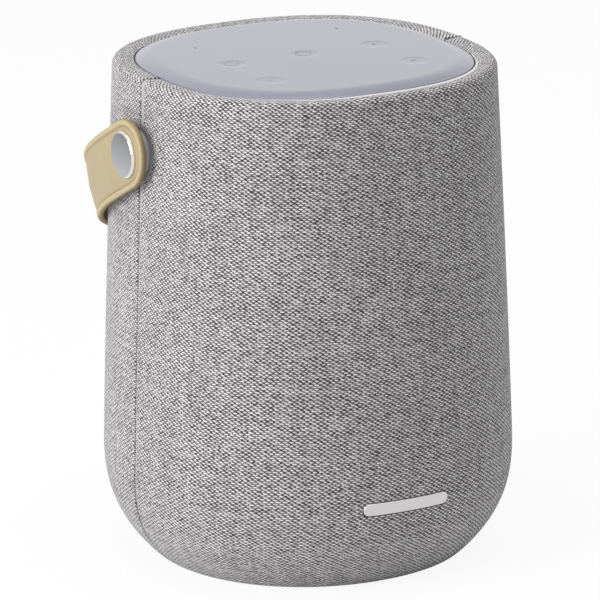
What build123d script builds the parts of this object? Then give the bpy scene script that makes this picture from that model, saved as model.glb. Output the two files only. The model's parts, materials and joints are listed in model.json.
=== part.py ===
"""Portable smart speaker: fabric-covered body, touch panel, leather carry strap and the parts inside.

Frame: millimetres, +Z up, the front faces -Y, and the origin is the centre of the resting face.
"""
from build123d import *
import math
import os

# ---------------------------------------------------------------- body shape
BODY_HEIGHT = 212.0         # resting face to the top of the fabric rim
WIDEST_HALF = 85.3          # half width where the body is widest
WIDEST_HEIGHT = 46.5
FOOT_HALF = 64.9            # half width where the curve would meet the ground
RIM_HALF = 77.0             # half width just under the rim
CURL_POWER = 2.55           # how squarely the wall curls under
TAPER_POWER = 1.08          # 1 is a straight taper to the rim
SQUARENESS_FOOT = 2.07      # plan exponent at the foot, 2 is a circle
SQUARENESS_RIM = 2.37       # plan exponent at the rim
RIM_RADIUS = 2.6
PLAN_POINTS = 36

# ---------------------------------------------------------------- clearances
SKIN_FIT = 0.15             # between curved skins that lie on each other
SCREW_FIT = 0.05
PRESS_FIT = 0.02
RUNNING_FIT = 0.04
LOOSE_FIT = 0.3
PROUD_GAP = 0.1             # axial play of the turning strap

# ---------------------------------------------------------------- fabric covers and grille shells
FABRIC_THICKNESS = 1.2
FABRIC_LIFT = 0.8           # the fabric's lowest edge above the resting face
SEAM_GAP = 0.4
SHELL_THICKNESS = 2.6
FABRIC_TURN_UNDER = 3.5     # width of the fabric's edge on the underside
SHELL_LIP = 2.0             # how far the shell opening stands back from the fabric opening
SLOT_WIDTH = 3.2
SLOT_PITCH = 8.0
SLOT_HEIGHT = 36.0
SLOT_ROW_GAP = 8.0
SLOT_COLUMNS = 13

# ---------------------------------------------------------------- touch panel
RIM_WIDTH_SIDE = 10.1       # body edge to panel edge, left and right
RIM_WIDTH_FRONT = 9.4       # body edge to panel edge, front and back
PANEL_SQUARENESS = 2.49
PANEL_EDGE_DROP = 0.6       # panel edge below the rim
PANEL_CROWN = 2.2           # panel centre above its edge
PANEL_THICKNESS = 3.9       # at the edge
PANEL_EDGE_RADIUS = 1.6
TRIM_WIDTH = 0.7
TRIM_DROP = 1.0
PANEL_GAP = 0.1
KEY_PITCH_X = 34.0
KEY_PITCH_Y = 33.3
KEY_RADIUS = 6.0
KEY_DEPTH = 0.3
MIC_HOLE_RADIUS = 0.6
MIC_SIZE = (4.0, 3.0, 1.2)

# ---------------------------------------------------------------- carry strap and its pivots
PIVOT_DROP = 30.7           # pivot axis below the rim
STRAP_SLOPE = 28.0          # degrees below level at rest
STRAP_STAND = 6.3           # outer face out from the body at the pivots
STRAP_SLACK = 20.7          # outer face out from the body's widest, at the back
STRAP_STRAIGHT = 12.0       # straight side past the pivot
STRAP_SQUARENESS = 2.05
STRAP_THICKNESS = 3.0
STRAP_WIDTH = 28.0
STRAP_END = 16.0            # rounded end past the pivot
KNOB_RADIUS = 10.0
KNOB_THICKNESS = 1.5
KNOB_CHAMFER = 0.7
PIN_RADIUS = 3.0
BUSH_WALL = 2.0
WASHER_RADIUS = 8.0
WASHER_THICKNESS = 0.6
BOSS_RADIUS = 9.6
BOSS_CHAMFER = 0.8
PIVOT_PAD_RADIUS = 9.0
PIVOT_PAD_PROUD = 0.4       # pad past the frame wall's inner face
CLIP_RADIUS = 6.0
CLIP_THICKNESS = 1.5
PIN_TAIL = 1.5

# ---------------------------------------------------------------- base
UNDERSIDE_LIFT = 1.0
FOOT_MARGIN = 5.0           # foot in from the fabric opening
FOOT_THICKNESS = 2.0
BASE_FLANGE_THICKNESS = 3.0
CONTACT_RADIUS = 3.0
CONTACT_CIRCLE = 20.0
CONTACT_RECESS = 0.6
CONTACT_COUNT = 3

# ---------------------------------------------------------------- battery
CELL_RADIUS = 9.25
CELL_LENGTH = 65.0
CELL_COUNT = 4
CELL_SPACE = 1.0
HOLDER_WALL = 2.5
HOLDER_FLOOR = 2.0
HOLDER_HEADROOM = 1.5

# ---------------------------------------------------------------- acoustic enclosure and baffle
FRONT_ROOM = 26.3           # shell to baffle at the front
BACK_ROOM = 28.3            # shell to enclosure at the back
CORNER_ROOM = 3.6           # shell to the baffle's side edges
ENCLOSURE_WALL = 3.0
ENCLOSURE_CORNER = 14.0
BAFFLE_THICKNESS = 6.0
BAFFLE_LEDGE = 2.0
GASKET_THICKNESS = 1.0
SCREW_RADIUS = 1.4
SCREW_HEAD_RADIUS = 2.8
SCREW_HEAD_HEIGHT = 2.0
SCREW_LENGTH = 12.0
SCREW_BOSS_RADIUS = 4.5
LEG_GAP = 3.5               # between the battery holder and a leg
LEG_FRONT_INSET = 19.0      # leg behind the enclosure's front
LEG_BACK_INSET = 16.0

# ---------------------------------------------------------------- woofer
WOOFER_EDGE = 8.0           # baffle beside the woofer frame
WOOFER_MARGIN = 4.0         # woofer frame above the enclosure floor
WOOFER_FLANGE = 6.0         # width of the mounting flange
FLANGE_THICKNESS = 2.5
SEAT_WIDTH = 3.0
SEAT_THICKNESS = 1.5
SEAT_TOP = 1.0              # surround seat ahead of the baffle
BASKET_DEPTH = 30.0
BASKET_WALL = 1.6
BASKET_WINDOWS = 6
MOTOR_RADIUS = 27.0
TOP_PLATE_THICKNESS = 5.0
MAGNET_RADIUS = 30.0
MAGNET_HEIGHT = 12.0
YOKE_THICKNESS = 5.0
COIL_RADIUS = 10.0
COIL_WALL = 0.8
COIL_GAP = 0.6
ROLL_WIDTH = 6.0            # surround between the cone and its seat
CONE_WALL = 0.9
CONE_DEPTH = 17.0
DUST_CAP_RADIUS = 13.0
DUST_CAP_HEIGHT = 6.0
ROLL_WALL = 0.5
WOOFER_SCREWS = 6

# ---------------------------------------------------------------- tweeters
TWEETER_RADIUS = 17.0
TWEETER_SIDE_GAP = 4.0      # between a tweeter and the baffle screws' bosses
TWEETER_GAP = 1.8           # above the woofer frame
TWEETER_MARGIN = 2.5
TWEETER_PLATE = 2.2
TWEETER_MOTOR_RADIUS = 13.0
TWEETER_MOTOR_DEPTH = 13.0
DOME_RADIUS = 9.3
DOME_HEIGHT = 3.6
DOME_WALL = 0.4
DOME_TRAVEL = 0.3

# ---------------------------------------------------------------- passive radiator
RADIATOR_STEP = 2.0         # radiator frame smaller than the woofer frame
RADIATOR_RING = 7.5
RADIATOR_ROLL = 7.5         # surround between plate and ring
RADIATOR_PLATE_THICKNESS = 2.0
RADIATOR_WEIGHT_RADIUS = 15.0
RADIATOR_WEIGHT_THICKNESS = 4.0

# ---------------------------------------------------------------- top frame and electronics
FRAME_GAP = 3.4             # frame wall to shell at the pivots
FRAME_WALL = 3.5
FRAME_FLOOR = 3.0
LEDGE_WIDTH = 9.0
LEDGE_THICKNESS = 3.0
BOARD_THICKNESS = 1.6
BOARD_ROOM = (19.0, 29.0)   # frame wall to the main board's edges, across and along
STANDOFF_RADIUS = 3.5
STANDOFF_HEIGHT = 8.0
STANDOFF_INSET = 12.0
HEATSINK_SIZE = (40.0, 30.0, 14.0)
HEATSINK_FLOOR = 3.0
HEATSINK_FINS = 7
HEATSINK_FIN = 1.6
RADIO_SIZE = (26.0, 18.0, 3.0)
CAPACITOR_RADIUS = 5.0
CAPACITOR_HEIGHT = 12.0
CAPACITOR_COUNT = 4

# ---------------------------------------------------------------- rear port bay
BAY_HEIGHT = 40.0           # centre of the bay above the resting face
BAY_WIDTH = 46.0
BAY_TALL = 15.0
BAY_CORNER = 4.5            # corner radius inside the bay
BAY_WALL = 1.5
BAY_DEPTH = 5.5             # floor of the bay behind the widest surface
BAY_FLOOR = 2.0
BAY_FLANGE = 3.0
BAY_FLANGE_THICKNESS = 2.0
PORT_POST_LENGTH = 5.0
PORT_POST_RADIUS = 2.5
SOCKET_WIDTH = 9.0
SOCKET_TALL = 3.3
SOCKET_WALL = 0.35
SOCKET_TONGUE = (6.4, 0.7)
BUTTON_RADIUS = 4.0
BUTTON_PROUD = 1.0
BUTTON_TRAVEL = 0.8
BUTTON_FLANGE = 1.0
SWITCH_RADIUS = 2.5
PORT_OFFSET = 11.0          # socket and button each side of the bay's centre

# ---------------------------------------------------------------- badge
BADGE_LENGTH = 40.0
BADGE_TALL = 4.6
BADGE_PROUD = 0.8
BADGE_HEIGHT = 39.5

# ---------------------------------------------------------------- derived heights and places
FABRIC_TOP = BODY_HEIGHT
SHELL_INSET = FABRIC_THICKNESS + SKIN_FIT
SHELL_BOTTOM = FABRIC_LIFT + SHELL_INSET
SHELL_TOP = BODY_HEIGHT - SHELL_INSET
INNER_INSET = SHELL_INSET + SHELL_THICKNESS
LIP_TOP = SHELL_BOTTOM + SHELL_THICKNESS
FLANGE_BOTTOM = SHELL_TOP - SHELL_THICKNESS
BASE_TOP = LIP_TOP + BASE_FLANGE_THICKNESS
HOLDER_HEIGHT = HOLDER_FLOOR + 2 * CELL_RADIUS + HOLDER_HEADROOM
ENCLOSURE_BOTTOM = BASE_TOP + HOLDER_HEIGHT
PANEL_EDGE_TOP = BODY_HEIGHT - PANEL_EDGE_DROP
PANEL_BOTTOM = PANEL_EDGE_TOP - PANEL_THICKNESS
PANEL_OPENING = PANEL_GAP + TRIM_WIDTH + PANEL_GAP   # fabric edge out from the panel edge
BOARD_BOTTOM = PANEL_BOTTOM - BOARD_THICKNESS
PANEL_HALF_X = RIM_HALF - RIM_WIDTH_SIDE
PANEL_HALF_Y = RIM_HALF - RIM_WIDTH_FRONT
PIVOT_Z = BODY_HEIGHT - PIVOT_DROP
UNDER_OPENING_HALF = FOOT_HALF - FABRIC_TURN_UNDER
FOOT_RADIUS = UNDER_OPENING_HALF - FOOT_MARGIN


# ---------------------------------------------------------------- shape helpers
def body_half(height):
    """Half width of the body: a curl up to the widest height, then a nearly straight taper."""
    if height < WIDEST_HEIGHT:
        fall = (WIDEST_HEIGHT - height) / WIDEST_HEIGHT
        return WIDEST_HALF - (WIDEST_HALF - FOOT_HALF) * fall ** CURL_POWER
    rise = (height - WIDEST_HEIGHT) / (BODY_HEIGHT - WIDEST_HEIGHT)
    return WIDEST_HALF - (WIDEST_HALF - RIM_HALF) * rise ** TAPER_POWER


def squareness(height):
    """Plan exponent of the body at a height."""
    return SQUARENESS_FOOT + (SQUARENESS_RIM - SQUARENESS_FOOT) * height / BODY_HEIGHT


def chord_half(half, exponent, depth):
    """Half width of a superellipse at a distance from its centre line."""
    return half * (1 - (depth / half) ** exponent) ** (1 / exponent)


# ---------------------------------------------------------------- derived places that follow the body's shape
PIVOT_BODY = body_half(PIVOT_Z)
STRAP_HALF = PIVOT_BODY + STRAP_STAND
STRAP_REACH = WIDEST_HALF + STRAP_SLACK
FRAME_HALF = PIVOT_BODY - INNER_INSET - FRAME_GAP
FRAME_INSIDE = FRAME_HALF - FRAME_WALL
ENCLOSURE_TOP = PIVOT_Z - PIVOT_PAD_RADIUS - LOOSE_FIT
INSIDE_HALF = min(body_half(ENCLOSURE_BOTTOM), body_half(ENCLOSURE_TOP)) - INNER_INSET
BAFFLE_FRONT = INSIDE_HALF - FRONT_ROOM
BAFFLE_HALF_X = chord_half(INSIDE_HALF, squareness(ENCLOSURE_TOP), BAFFLE_FRONT) - CORNER_ROOM
ENCLOSURE_HALF_X = BAFFLE_HALF_X - BAFFLE_LEDGE
ENCLOSURE_BACK = INSIDE_HALF - BACK_ROOM
GASKET_FRONT = BAFFLE_FRONT - BAFFLE_THICKNESS
ENCLOSURE_FRONT = GASKET_FRONT - GASKET_THICKNESS
WOOFER_WIDTH_ROOM = BAFFLE_HALF_X - WOOFER_EDGE
TWEETER_ROOM = TWEETER_GAP + 2 * TWEETER_RADIUS + TWEETER_MARGIN
WOOFER_HEIGHT_ROOM = (ENCLOSURE_TOP - ENCLOSURE_BOTTOM - WOOFER_MARGIN - TWEETER_ROOM) / 2
WOOFER_RADIUS = min(WOOFER_WIDTH_ROOM, WOOFER_HEIGHT_ROOM)
WOOFER_Z = ENCLOSURE_BOTTOM + WOOFER_MARGIN + WOOFER_RADIUS
CONE_RADIUS = WOOFER_RADIUS - WOOFER_FLANGE - SEAT_WIDTH - ROLL_WIDTH
TWEETER_Z = ENCLOSURE_TOP - TWEETER_MARGIN - TWEETER_RADIUS
TWEETER_OFFSET = ENCLOSURE_HALF_X - 2 * SCREW_BOSS_RADIUS - TWEETER_SIDE_GAP - TWEETER_RADIUS
RADIATOR_RADIUS = WOOFER_RADIUS - RADIATOR_STEP
RADIATOR_PLATE_RADIUS = RADIATOR_RADIUS - RADIATOR_RING - RADIATOR_ROLL
HOLDER_HALF_X = CELL_LENGTH / 2 + CELL_SPACE + HOLDER_WALL
LEG_X = HOLDER_HALF_X + LEG_GAP + SCREW_BOSS_RADIUS
LEG_FRONT = ENCLOSURE_FRONT - LEG_FRONT_INSET
LEG_BACK = ENCLOSURE_BACK - LEG_BACK_INSET
SCREW_PLACES = [(x, y) for x in (-LEG_X, LEG_X) for y in (-LEG_FRONT, LEG_BACK)]
BOARD_HALF_X = FRAME_INSIDE - BOARD_ROOM[0]
BOARD_HALF_Y = FRAME_INSIDE - BOARD_ROOM[1]
BAY_FACE = WIDEST_HALF - BAY_DEPTH          # outer face of the bay's floor
BAY_BACK = BAY_FACE - BAY_FLOOR
PORT_BOARD_FACE = BAY_BACK - PORT_POST_LENGTH


def plan(half_x, half_y, exponent, height):
    """Closed superellipse face at a height."""
    points = []
    for step in range(PLAN_POINTS):
        angle = 2 * math.pi * step / PLAN_POINTS
        across = abs(math.cos(angle)) / half_x
        along = abs(math.sin(angle)) / half_y
        radius = (across ** exponent + along ** exponent) ** (-1 / exponent)
        points.append((radius * math.cos(angle), radius * math.sin(angle), height))
    return make_face(Spline(*points, periodic=True))


def plan_block(half_x, half_y, exponent, bottom, top):
    """Upright block with a superellipse plan."""
    return extrude(plan(half_x, half_y, exponent, bottom), top - bottom, dir=(0, 0, 1))


def body_block(inset, bottom, top):
    """The body's volume drawn in by an inset, between two heights."""
    steps_low, steps_high = 5, 7
    heights = [bottom]
    if bottom < WIDEST_HEIGHT:
        heights += [bottom + (WIDEST_HEIGHT - bottom) * k / steps_low for k in range(1, steps_low + 1)]
    start = max(bottom, WIDEST_HEIGHT)
    heights += [start + (top - start) * (k / steps_high) ** 1.5 for k in range(1, steps_high + 1)]
    faces = []
    for height in heights:
        half = body_half(height) - inset
        faces.append(plan(half, half, squareness(height), height))
    return loft(faces)


def box_between(low, high):
    """Box from its low corner to its high corner."""
    size = [b - a for a, b in zip(low, high)]
    middle = [(a + b) / 2 for a, b in zip(low, high)]
    return Pos(*middle) * Box(*size)


def turned(outline):
    """Solid turned about Z from (radius, height) points."""
    return revolve(make_face(Polyline(*[(r, 0, h) for r, h in outline], close=True)), Axis.Z)


def ring(inner, outer, bottom, top):
    """Flat ring or, with no inner radius, a disc."""
    disc = Pos(0, 0, (bottom + top) / 2) * Cylinder(outer, top - bottom)
    if inner <= 0:
        return disc
    return disc - Pos(0, 0, (bottom + top) / 2) * Cylinder(inner, 2 * (top - bottom))


def dome(radius, rise, wall, base):
    """Thin spherical cap on a base height."""
    sphere = (radius ** 2 + rise ** 2) / (2 * rise)
    centre = base + rise - sphere
    cap = Pos(0, 0, centre) * (Sphere(sphere) - Sphere(sphere - wall))
    return cap & ring(0, 2 * radius, base, base + 2 * rise)


def facing_front(piece, x, y, z):
    """Turn a piece so that its +Z points to the front (-Y)."""
    return Plane(origin=(x, y, z), x_dir=(1, 0, 0), z_dir=(0, -1, 0)).location * piece


def facing_back(piece, x, y, z):
    """Turn a piece so that its +Z points to the back (+Y)."""
    return Plane(origin=(x, y, z), x_dir=(-1, 0, 0), z_dir=(0, 1, 0)).location * piece


def facing_side(piece, side, x, y, z):
    """Turn a piece so that its +Z points out of the side, -1 for left and 1 for right."""
    return Plane(origin=(x, y, z), x_dir=(0, side, 0), z_dir=(side, 0, 0)).location * piece


def stadium_bar(length, tall, start, end, height, x=0.0):
    """Bar with rounded ends in X and Z that runs along +Y."""
    profile = Plane(origin=(x, start, height), x_dir=(-1, 0, 0), z_dir=(0, 1, 0)) * SlotOverall(length, tall)
    return extrude(profile, end - start, dir=(0, 1, 0))


def bay_bar(gap, start, end):
    """Bar along +Y of the bay's rounded outline grown by a gap."""
    profile = Plane(origin=(0, start, BAY_HEIGHT), x_dir=(-1, 0, 0), z_dir=(0, 1, 0)) * RectangleRounded(
        BAY_WIDTH + 2 * gap, BAY_TALL + 2 * gap, BAY_CORNER + gap)
    return extrude(profile, end - start, dir=(0, 1, 0))


def screw(length):
    """Pan-head screw: head below z = 0, shank above."""
    head = fillet(ring(0, SCREW_HEAD_RADIUS, -SCREW_HEAD_HEIGHT, 0).edges().group_by(Axis.Z)[0], 0.8)
    recess = Pos(0, 0, -SCREW_HEAD_HEIGHT) * (Box(2.6, 0.7, 1.4) + Box(0.7, 2.6, 1.4))
    return head - recess + ring(0, SCREW_RADIUS, 0, length)


def screw_hole(length):
    """Clearance for a screw's shank."""
    return ring(0, SCREW_RADIUS + SCREW_FIT, -0.5, length + 0.5)


def roll_ring(inner, outer, lip):
    """Half-roll surround between two radii with a flat lip each side."""
    middle = (inner + outer) / 2
    big = (outer - inner) / 2
    section = Pos(middle, 0) * (Circle(big) - Circle(big - ROLL_WALL))
    section &= Pos(middle, big) * Rectangle(2 * big, 2 * big)
    section += Pos(inner - lip / 2 + ROLL_WALL / 2, ROLL_WALL / 2) * Rectangle(lip + ROLL_WALL, ROLL_WALL)
    section += Pos(outer + lip / 2 - ROLL_WALL / 2, ROLL_WALL / 2) * Rectangle(lip + ROLL_WALL, ROLL_WALL)
    return revolve(Plane.XZ * section, Axis.Z)


# ---------------------------------------------------------------- casing
def panel_opening(gap, bottom, top):
    """Block of the panel's outline grown by a gap."""
    return plan_block(PANEL_HALF_X + gap, PANEL_HALF_Y + gap, PANEL_SQUARENESS, bottom, top)


def half_space(side, gap):
    """The front (-1) or rear (1) half of the space round the body."""
    size = 2 * WIDEST_HALF
    near, far = sorted((side * gap / 2, side * size))
    return box_between((-size, near, -size), (size, far, BODY_HEIGHT + size))


def knob_bores(radius):
    """Bores of one radius along the strap pivot, out through both sides."""
    return Pos(0, 0, PIVOT_Z) * Rot(0, 90, 0) * Cylinder(radius, 4 * WIDEST_HALF)


def casing_openings(width_gap):
    """The rear port bay's way through the casing."""
    return bay_bar(BAY_WALL + width_gap, WIDEST_HALF / 2, 2 * WIDEST_HALF)


def fabric_covers():
    """Front and rear fabric covers: one skin over wall, rim and underside, split at the side seams."""
    outer = body_block(0, FABRIC_LIFT, FABRIC_TOP)
    outer = fillet(outer.edges().group_by(Axis.Z)[-1], RIM_RADIUS)
    inner = body_block(FABRIC_THICKNESS, FABRIC_LIFT + FABRIC_THICKNESS, FABRIC_TOP - FABRIC_THICKNESS)
    skin = outer - inner
    skin -= panel_opening(PANEL_OPENING, BODY_HEIGHT / 2, 2 * BODY_HEIGHT)
    skin -= plan_block(UNDER_OPENING_HALF, UNDER_OPENING_HALF, SQUARENESS_FOOT, -BODY_HEIGHT, LIP_TOP)
    skin -= knob_bores(BOSS_RADIUS + LOOSE_FIT)
    skin -= casing_openings(SKIN_FIT)
    return skin & half_space(-1, SEAM_GAP), skin & half_space(1, SEAM_GAP)


def sound_slots(side, rows, first_row):
    """Rows of upright slots through one half of the shell."""
    slots = []
    row_step = SLOT_HEIGHT + SLOT_ROW_GAP
    for row in range(rows):
        low = first_row + row * row_step
        for column in range(SLOT_COLUMNS):
            x = (column - (SLOT_COLUMNS - 1) / 2) * SLOT_PITCH
            near, far = sorted((side * WIDEST_HALF / 4, side * 2 * WIDEST_HALF))
            slots.append(box_between((x - SLOT_WIDTH / 2, near, low),
                                     (x + SLOT_WIDTH / 2, far, low + SLOT_HEIGHT)))
    return slots


def grille_shells():
    """Front and rear perforated shells that carry the fabric."""
    outer = body_block(SHELL_INSET, SHELL_BOTTOM, SHELL_TOP)
    inner = body_block(INNER_INSET, LIP_TOP, FLANGE_BOTTOM)
    shell = outer - inner
    shell -= panel_opening(PANEL_OPENING + LOOSE_FIT, BODY_HEIGHT / 2, 2 * BODY_HEIGHT)
    lip_half = UNDER_OPENING_HALF + SHELL_LIP
    shell -= plan_block(lip_half, lip_half, SQUARENESS_FOOT, -BODY_HEIGHT, LIP_TOP)
    shell -= knob_bores(PIN_RADIUS + BUSH_WALL + LOOSE_FIT)
    shell -= casing_openings(SKIN_FIT)
    front = (shell & half_space(-1, SEAM_GAP)) - sound_slots(-1, 3, ENCLOSURE_BOTTOM)
    bay_top = BAY_HEIGHT + BAY_TALL / 2 + BAY_FLANGE + 2 * BAY_WALL
    rear = (shell & half_space(1, SEAM_GAP)) - sound_slots(1, 2, bay_top + SLOT_ROW_GAP)
    return front, rear


def top_panel():
    """Crowned touch panel with finger dimples and two microphone holes."""
    block = panel_opening(0, PANEL_BOTTOM, BODY_HEIGHT + PANEL_CROWN + PANEL_THICKNESS)
    sphere = (PANEL_HALF_X ** 2 + PANEL_CROWN ** 2) / (2 * PANEL_CROWN)
    block &= Pos(0, 0, PANEL_EDGE_TOP + PANEL_CROWN - sphere) * Sphere(sphere)
    top_edges = block.edges().filter_by(lambda edge: edge.center().Z > PANEL_BOTTOM + PANEL_THICKNESS / 2)
    block = fillet(top_edges.group_by(SortBy.LENGTH)[-1], PANEL_EDGE_RADIUS)
    dimple = (KEY_RADIUS ** 2 + KEY_DEPTH ** 2) / (2 * KEY_DEPTH)
    for x, y in key_places():
        surface = PANEL_EDGE_TOP + PANEL_CROWN - (x * x + y * y) / (2 * sphere)
        block -= Pos(x, y, surface - KEY_DEPTH + dimple) * Sphere(dimple)
    for x, y in mic_places():
        block -= Pos(x, y, PANEL_BOTTOM) * Cylinder(MIC_HOLE_RADIUS, 4 * PANEL_THICKNESS)
    return block


def key_places():
    """Centres of the five touch keys."""
    middle_row = [(-KEY_PITCH_X, 0.0), (0.0, 0.0), (KEY_PITCH_X, 0.0)]
    front_row = [(-KEY_PITCH_X, -KEY_PITCH_Y), (KEY_PITCH_X, -KEY_PITCH_Y)]
    return middle_row + front_row


def mic_places():
    """Centres of the two microphone holes."""
    return [(-KEY_PITCH_X, KEY_PITCH_Y), (KEY_PITCH_X, KEY_PITCH_Y)]


def panel_trim():
    """Dark trim ring round the panel."""
    top = BODY_HEIGHT - TRIM_DROP
    return (panel_opening(PANEL_GAP + TRIM_WIDTH, PANEL_BOTTOM, top)
            - panel_opening(PANEL_GAP, PANEL_BOTTOM - 1, top + 1))


def badge_plate():
    """Bare badge that follows the front of the body."""
    bar = stadium_bar(BADGE_LENGTH, BADGE_TALL, -2 * WIDEST_HALF, -WIDEST_HALF / 2, BADGE_HEIGHT)
    low, high = BADGE_HEIGHT - 4 * BADGE_TALL, BADGE_HEIGHT + 4 * BADGE_TALL
    return bar & (body_block(-SKIN_FIT - BADGE_PROUD, low, high) - body_block(-SKIN_FIT, low - 1, high + 1))


# ---------------------------------------------------------------- base
def contact_places():
    """Centres of the charging contacts."""
    places = []
    for index in range(CONTACT_COUNT):
        angle = 2 * math.pi * index / CONTACT_COUNT + math.pi / 2
        places.append((CONTACT_CIRCLE * math.cos(angle), CONTACT_CIRCLE * math.sin(angle)))
    return places


def base_plate():
    """Base plate: a disc in the fabric's opening and a flange that lies on the shells' lip."""
    disc_half = UNDER_OPENING_HALF - LOOSE_FIT
    flange_half = body_half(LIP_TOP) - INNER_INSET - LOOSE_FIT
    plate = plan_block(disc_half, disc_half, SQUARENESS_FOOT, UNDERSIDE_LIFT, LIP_TOP)
    plate += plan_block(flange_half, flange_half, SQUARENESS_FOOT, LIP_TOP, BASE_TOP)
    plate -= ring(0, FOOT_RADIUS + SKIN_FIT, 0, FOOT_THICKNESS)
    for x, y in SCREW_PLACES:
        plate -= Pos(x, y, 0) * ring(0, SCREW_HEAD_RADIUS + LOOSE_FIT, 0, FOOT_THICKNESS + SCREW_HEAD_HEIGHT)
        plate -= Pos(x, y, FOOT_THICKNESS + SCREW_HEAD_HEIGHT) * screw_hole(BASE_TOP)
    return plate


def rubber_foot():
    """Rubber pad under the base with a hole for each contact."""
    pad = ring(0, FOOT_RADIUS, 0, FOOT_THICKNESS)
    for x, y in contact_places():
        pad -= Pos(x, y, 0) * Cylinder(CONTACT_RADIUS + LOOSE_FIT, 4 * FOOT_THICKNESS)
    return pad


def charge_contacts():
    """Charging contacts in the pad's holes."""
    return [Pos(x, y, 0) * ring(0, CONTACT_RADIUS, CONTACT_RECESS, FOOT_THICKNESS) for x, y in contact_places()]


def chassis_screws():
    """Screws up through the base and down through the top frame."""
    up = [Pos(x, y, FOOT_THICKNESS + SCREW_HEAD_HEIGHT) * screw(SCREW_LENGTH) for x, y in SCREW_PLACES]
    top = ENCLOSURE_TOP + FRAME_FLOOR
    down = [Pos(x, y, top) * Rot(180, 0, 0) * screw(SCREW_LENGTH) for x, y in SCREW_PLACES]
    return up + down


# ---------------------------------------------------------------- battery
def battery_places():
    """Y of each cell."""
    step = 2 * CELL_RADIUS + CELL_SPACE
    return [(index - (CELL_COUNT - 1) / 2) * step for index in range(CELL_COUNT)]


def battery_holder():
    """Open tray with a rib between the cells."""
    reach_y = battery_places()[-1] + CELL_RADIUS + CELL_SPACE
    half_y = reach_y + HOLDER_WALL
    tray = box_between((-HOLDER_HALF_X, -half_y, BASE_TOP), (HOLDER_HALF_X, half_y, ENCLOSURE_BOTTOM))
    inside = HOLDER_HALF_X - HOLDER_WALL
    tray -= box_between((-inside, -reach_y, BASE_TOP + HOLDER_FLOOR), (inside, reach_y, ENCLOSURE_BOTTOM + 1))
    return tray


def battery_cells():
    """Row of round cells that lie across the tray."""
    height = BASE_TOP + HOLDER_FLOOR + CELL_RADIUS
    cells = []
    for y in battery_places():
        cell = Pos(0, y, height) * Rot(0, 90, 0) * Cylinder(CELL_RADIUS, CELL_LENGTH)
        cells.append(fillet(cell.edges(), 0.8))
    return cells


# ---------------------------------------------------------------- enclosure
def baffle_screw_places():
    """X and Z of the baffle screws: three down each side."""
    x = ENCLOSURE_HALF_X - SCREW_BOSS_RADIUS
    low = ENCLOSURE_BOTTOM + SCREW_BOSS_RADIUS
    high = ENCLOSURE_TOP - SCREW_BOSS_RADIUS
    middle = TWEETER_Z - TWEETER_RADIUS - WOOFER_RADIUS / 4
    return [(side * x, z) for side in (-1, 1) for z in (low, middle, high)]


def enclosure():
    """Sealed box behind the baffle, with legs to the base and bosses for its screws."""
    box = box_between((-ENCLOSURE_HALF_X, -ENCLOSURE_FRONT, ENCLOSURE_BOTTOM),
                      (ENCLOSURE_HALF_X, ENCLOSURE_BACK, ENCLOSURE_TOP))
    box = fillet(box.edges().filter_by(Axis.Z).group_by(Axis.Y)[-1], ENCLOSURE_CORNER)
    inner = box_between((-ENCLOSURE_HALF_X + ENCLOSURE_WALL, -ENCLOSURE_FRONT - 1,
                         ENCLOSURE_BOTTOM + ENCLOSURE_WALL),
                        (ENCLOSURE_HALF_X - ENCLOSURE_WALL, ENCLOSURE_BACK - ENCLOSURE_WALL,
                         ENCLOSURE_TOP - ENCLOSURE_WALL))
    inner = fillet(inner.edges().filter_by(Axis.Z).group_by(Axis.Y)[-1], ENCLOSURE_CORNER - ENCLOSURE_WALL)
    box -= inner
    post = SCREW_LENGTH + ENCLOSURE_WALL
    for x, z in baffle_screw_places():
        box += facing_back(ring(0, SCREW_BOSS_RADIUS, 0, post), x, -ENCLOSURE_FRONT, z)
    for x, y in SCREW_PLACES:
        box += Pos(x, y, 0) * ring(0, SCREW_BOSS_RADIUS, BASE_TOP, ENCLOSURE_BOTTOM + ENCLOSURE_WALL)
        box += Pos(x, y, 0) * ring(0, SCREW_BOSS_RADIUS, ENCLOSURE_TOP - post, ENCLOSURE_TOP)
    for x, z in baffle_screw_places():
        box -= facing_back(screw_hole(SCREW_LENGTH - BAFFLE_THICKNESS), x, -ENCLOSURE_FRONT, z)
    for x, y in SCREW_PLACES:
        box -= Pos(x, y, FOOT_THICKNESS + SCREW_HEAD_HEIGHT) * screw_hole(SCREW_LENGTH)
        box -= Pos(x, y, ENCLOSURE_TOP + FRAME_FLOOR) * Rot(180, 0, 0) * screw_hole(SCREW_LENGTH)
    hole = ring(0, RADIATOR_RADIUS - RADIATOR_RING + SEAT_WIDTH / 2, -2 * ENCLOSURE_WALL, 2 * ENCLOSURE_WALL)
    return box - facing_back(hole, 0, ENCLOSURE_BACK, WOOFER_Z)


def driver_screw_ring(radius):
    """Places of a driver's screws on its flange, as (across, up)."""
    places = []
    for index in range(WOOFER_SCREWS):
        angle = 2 * math.pi * (index + 0.5) / WOOFER_SCREWS
        places.append((radius * math.cos(angle), radius * math.sin(angle)))
    return places


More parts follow.
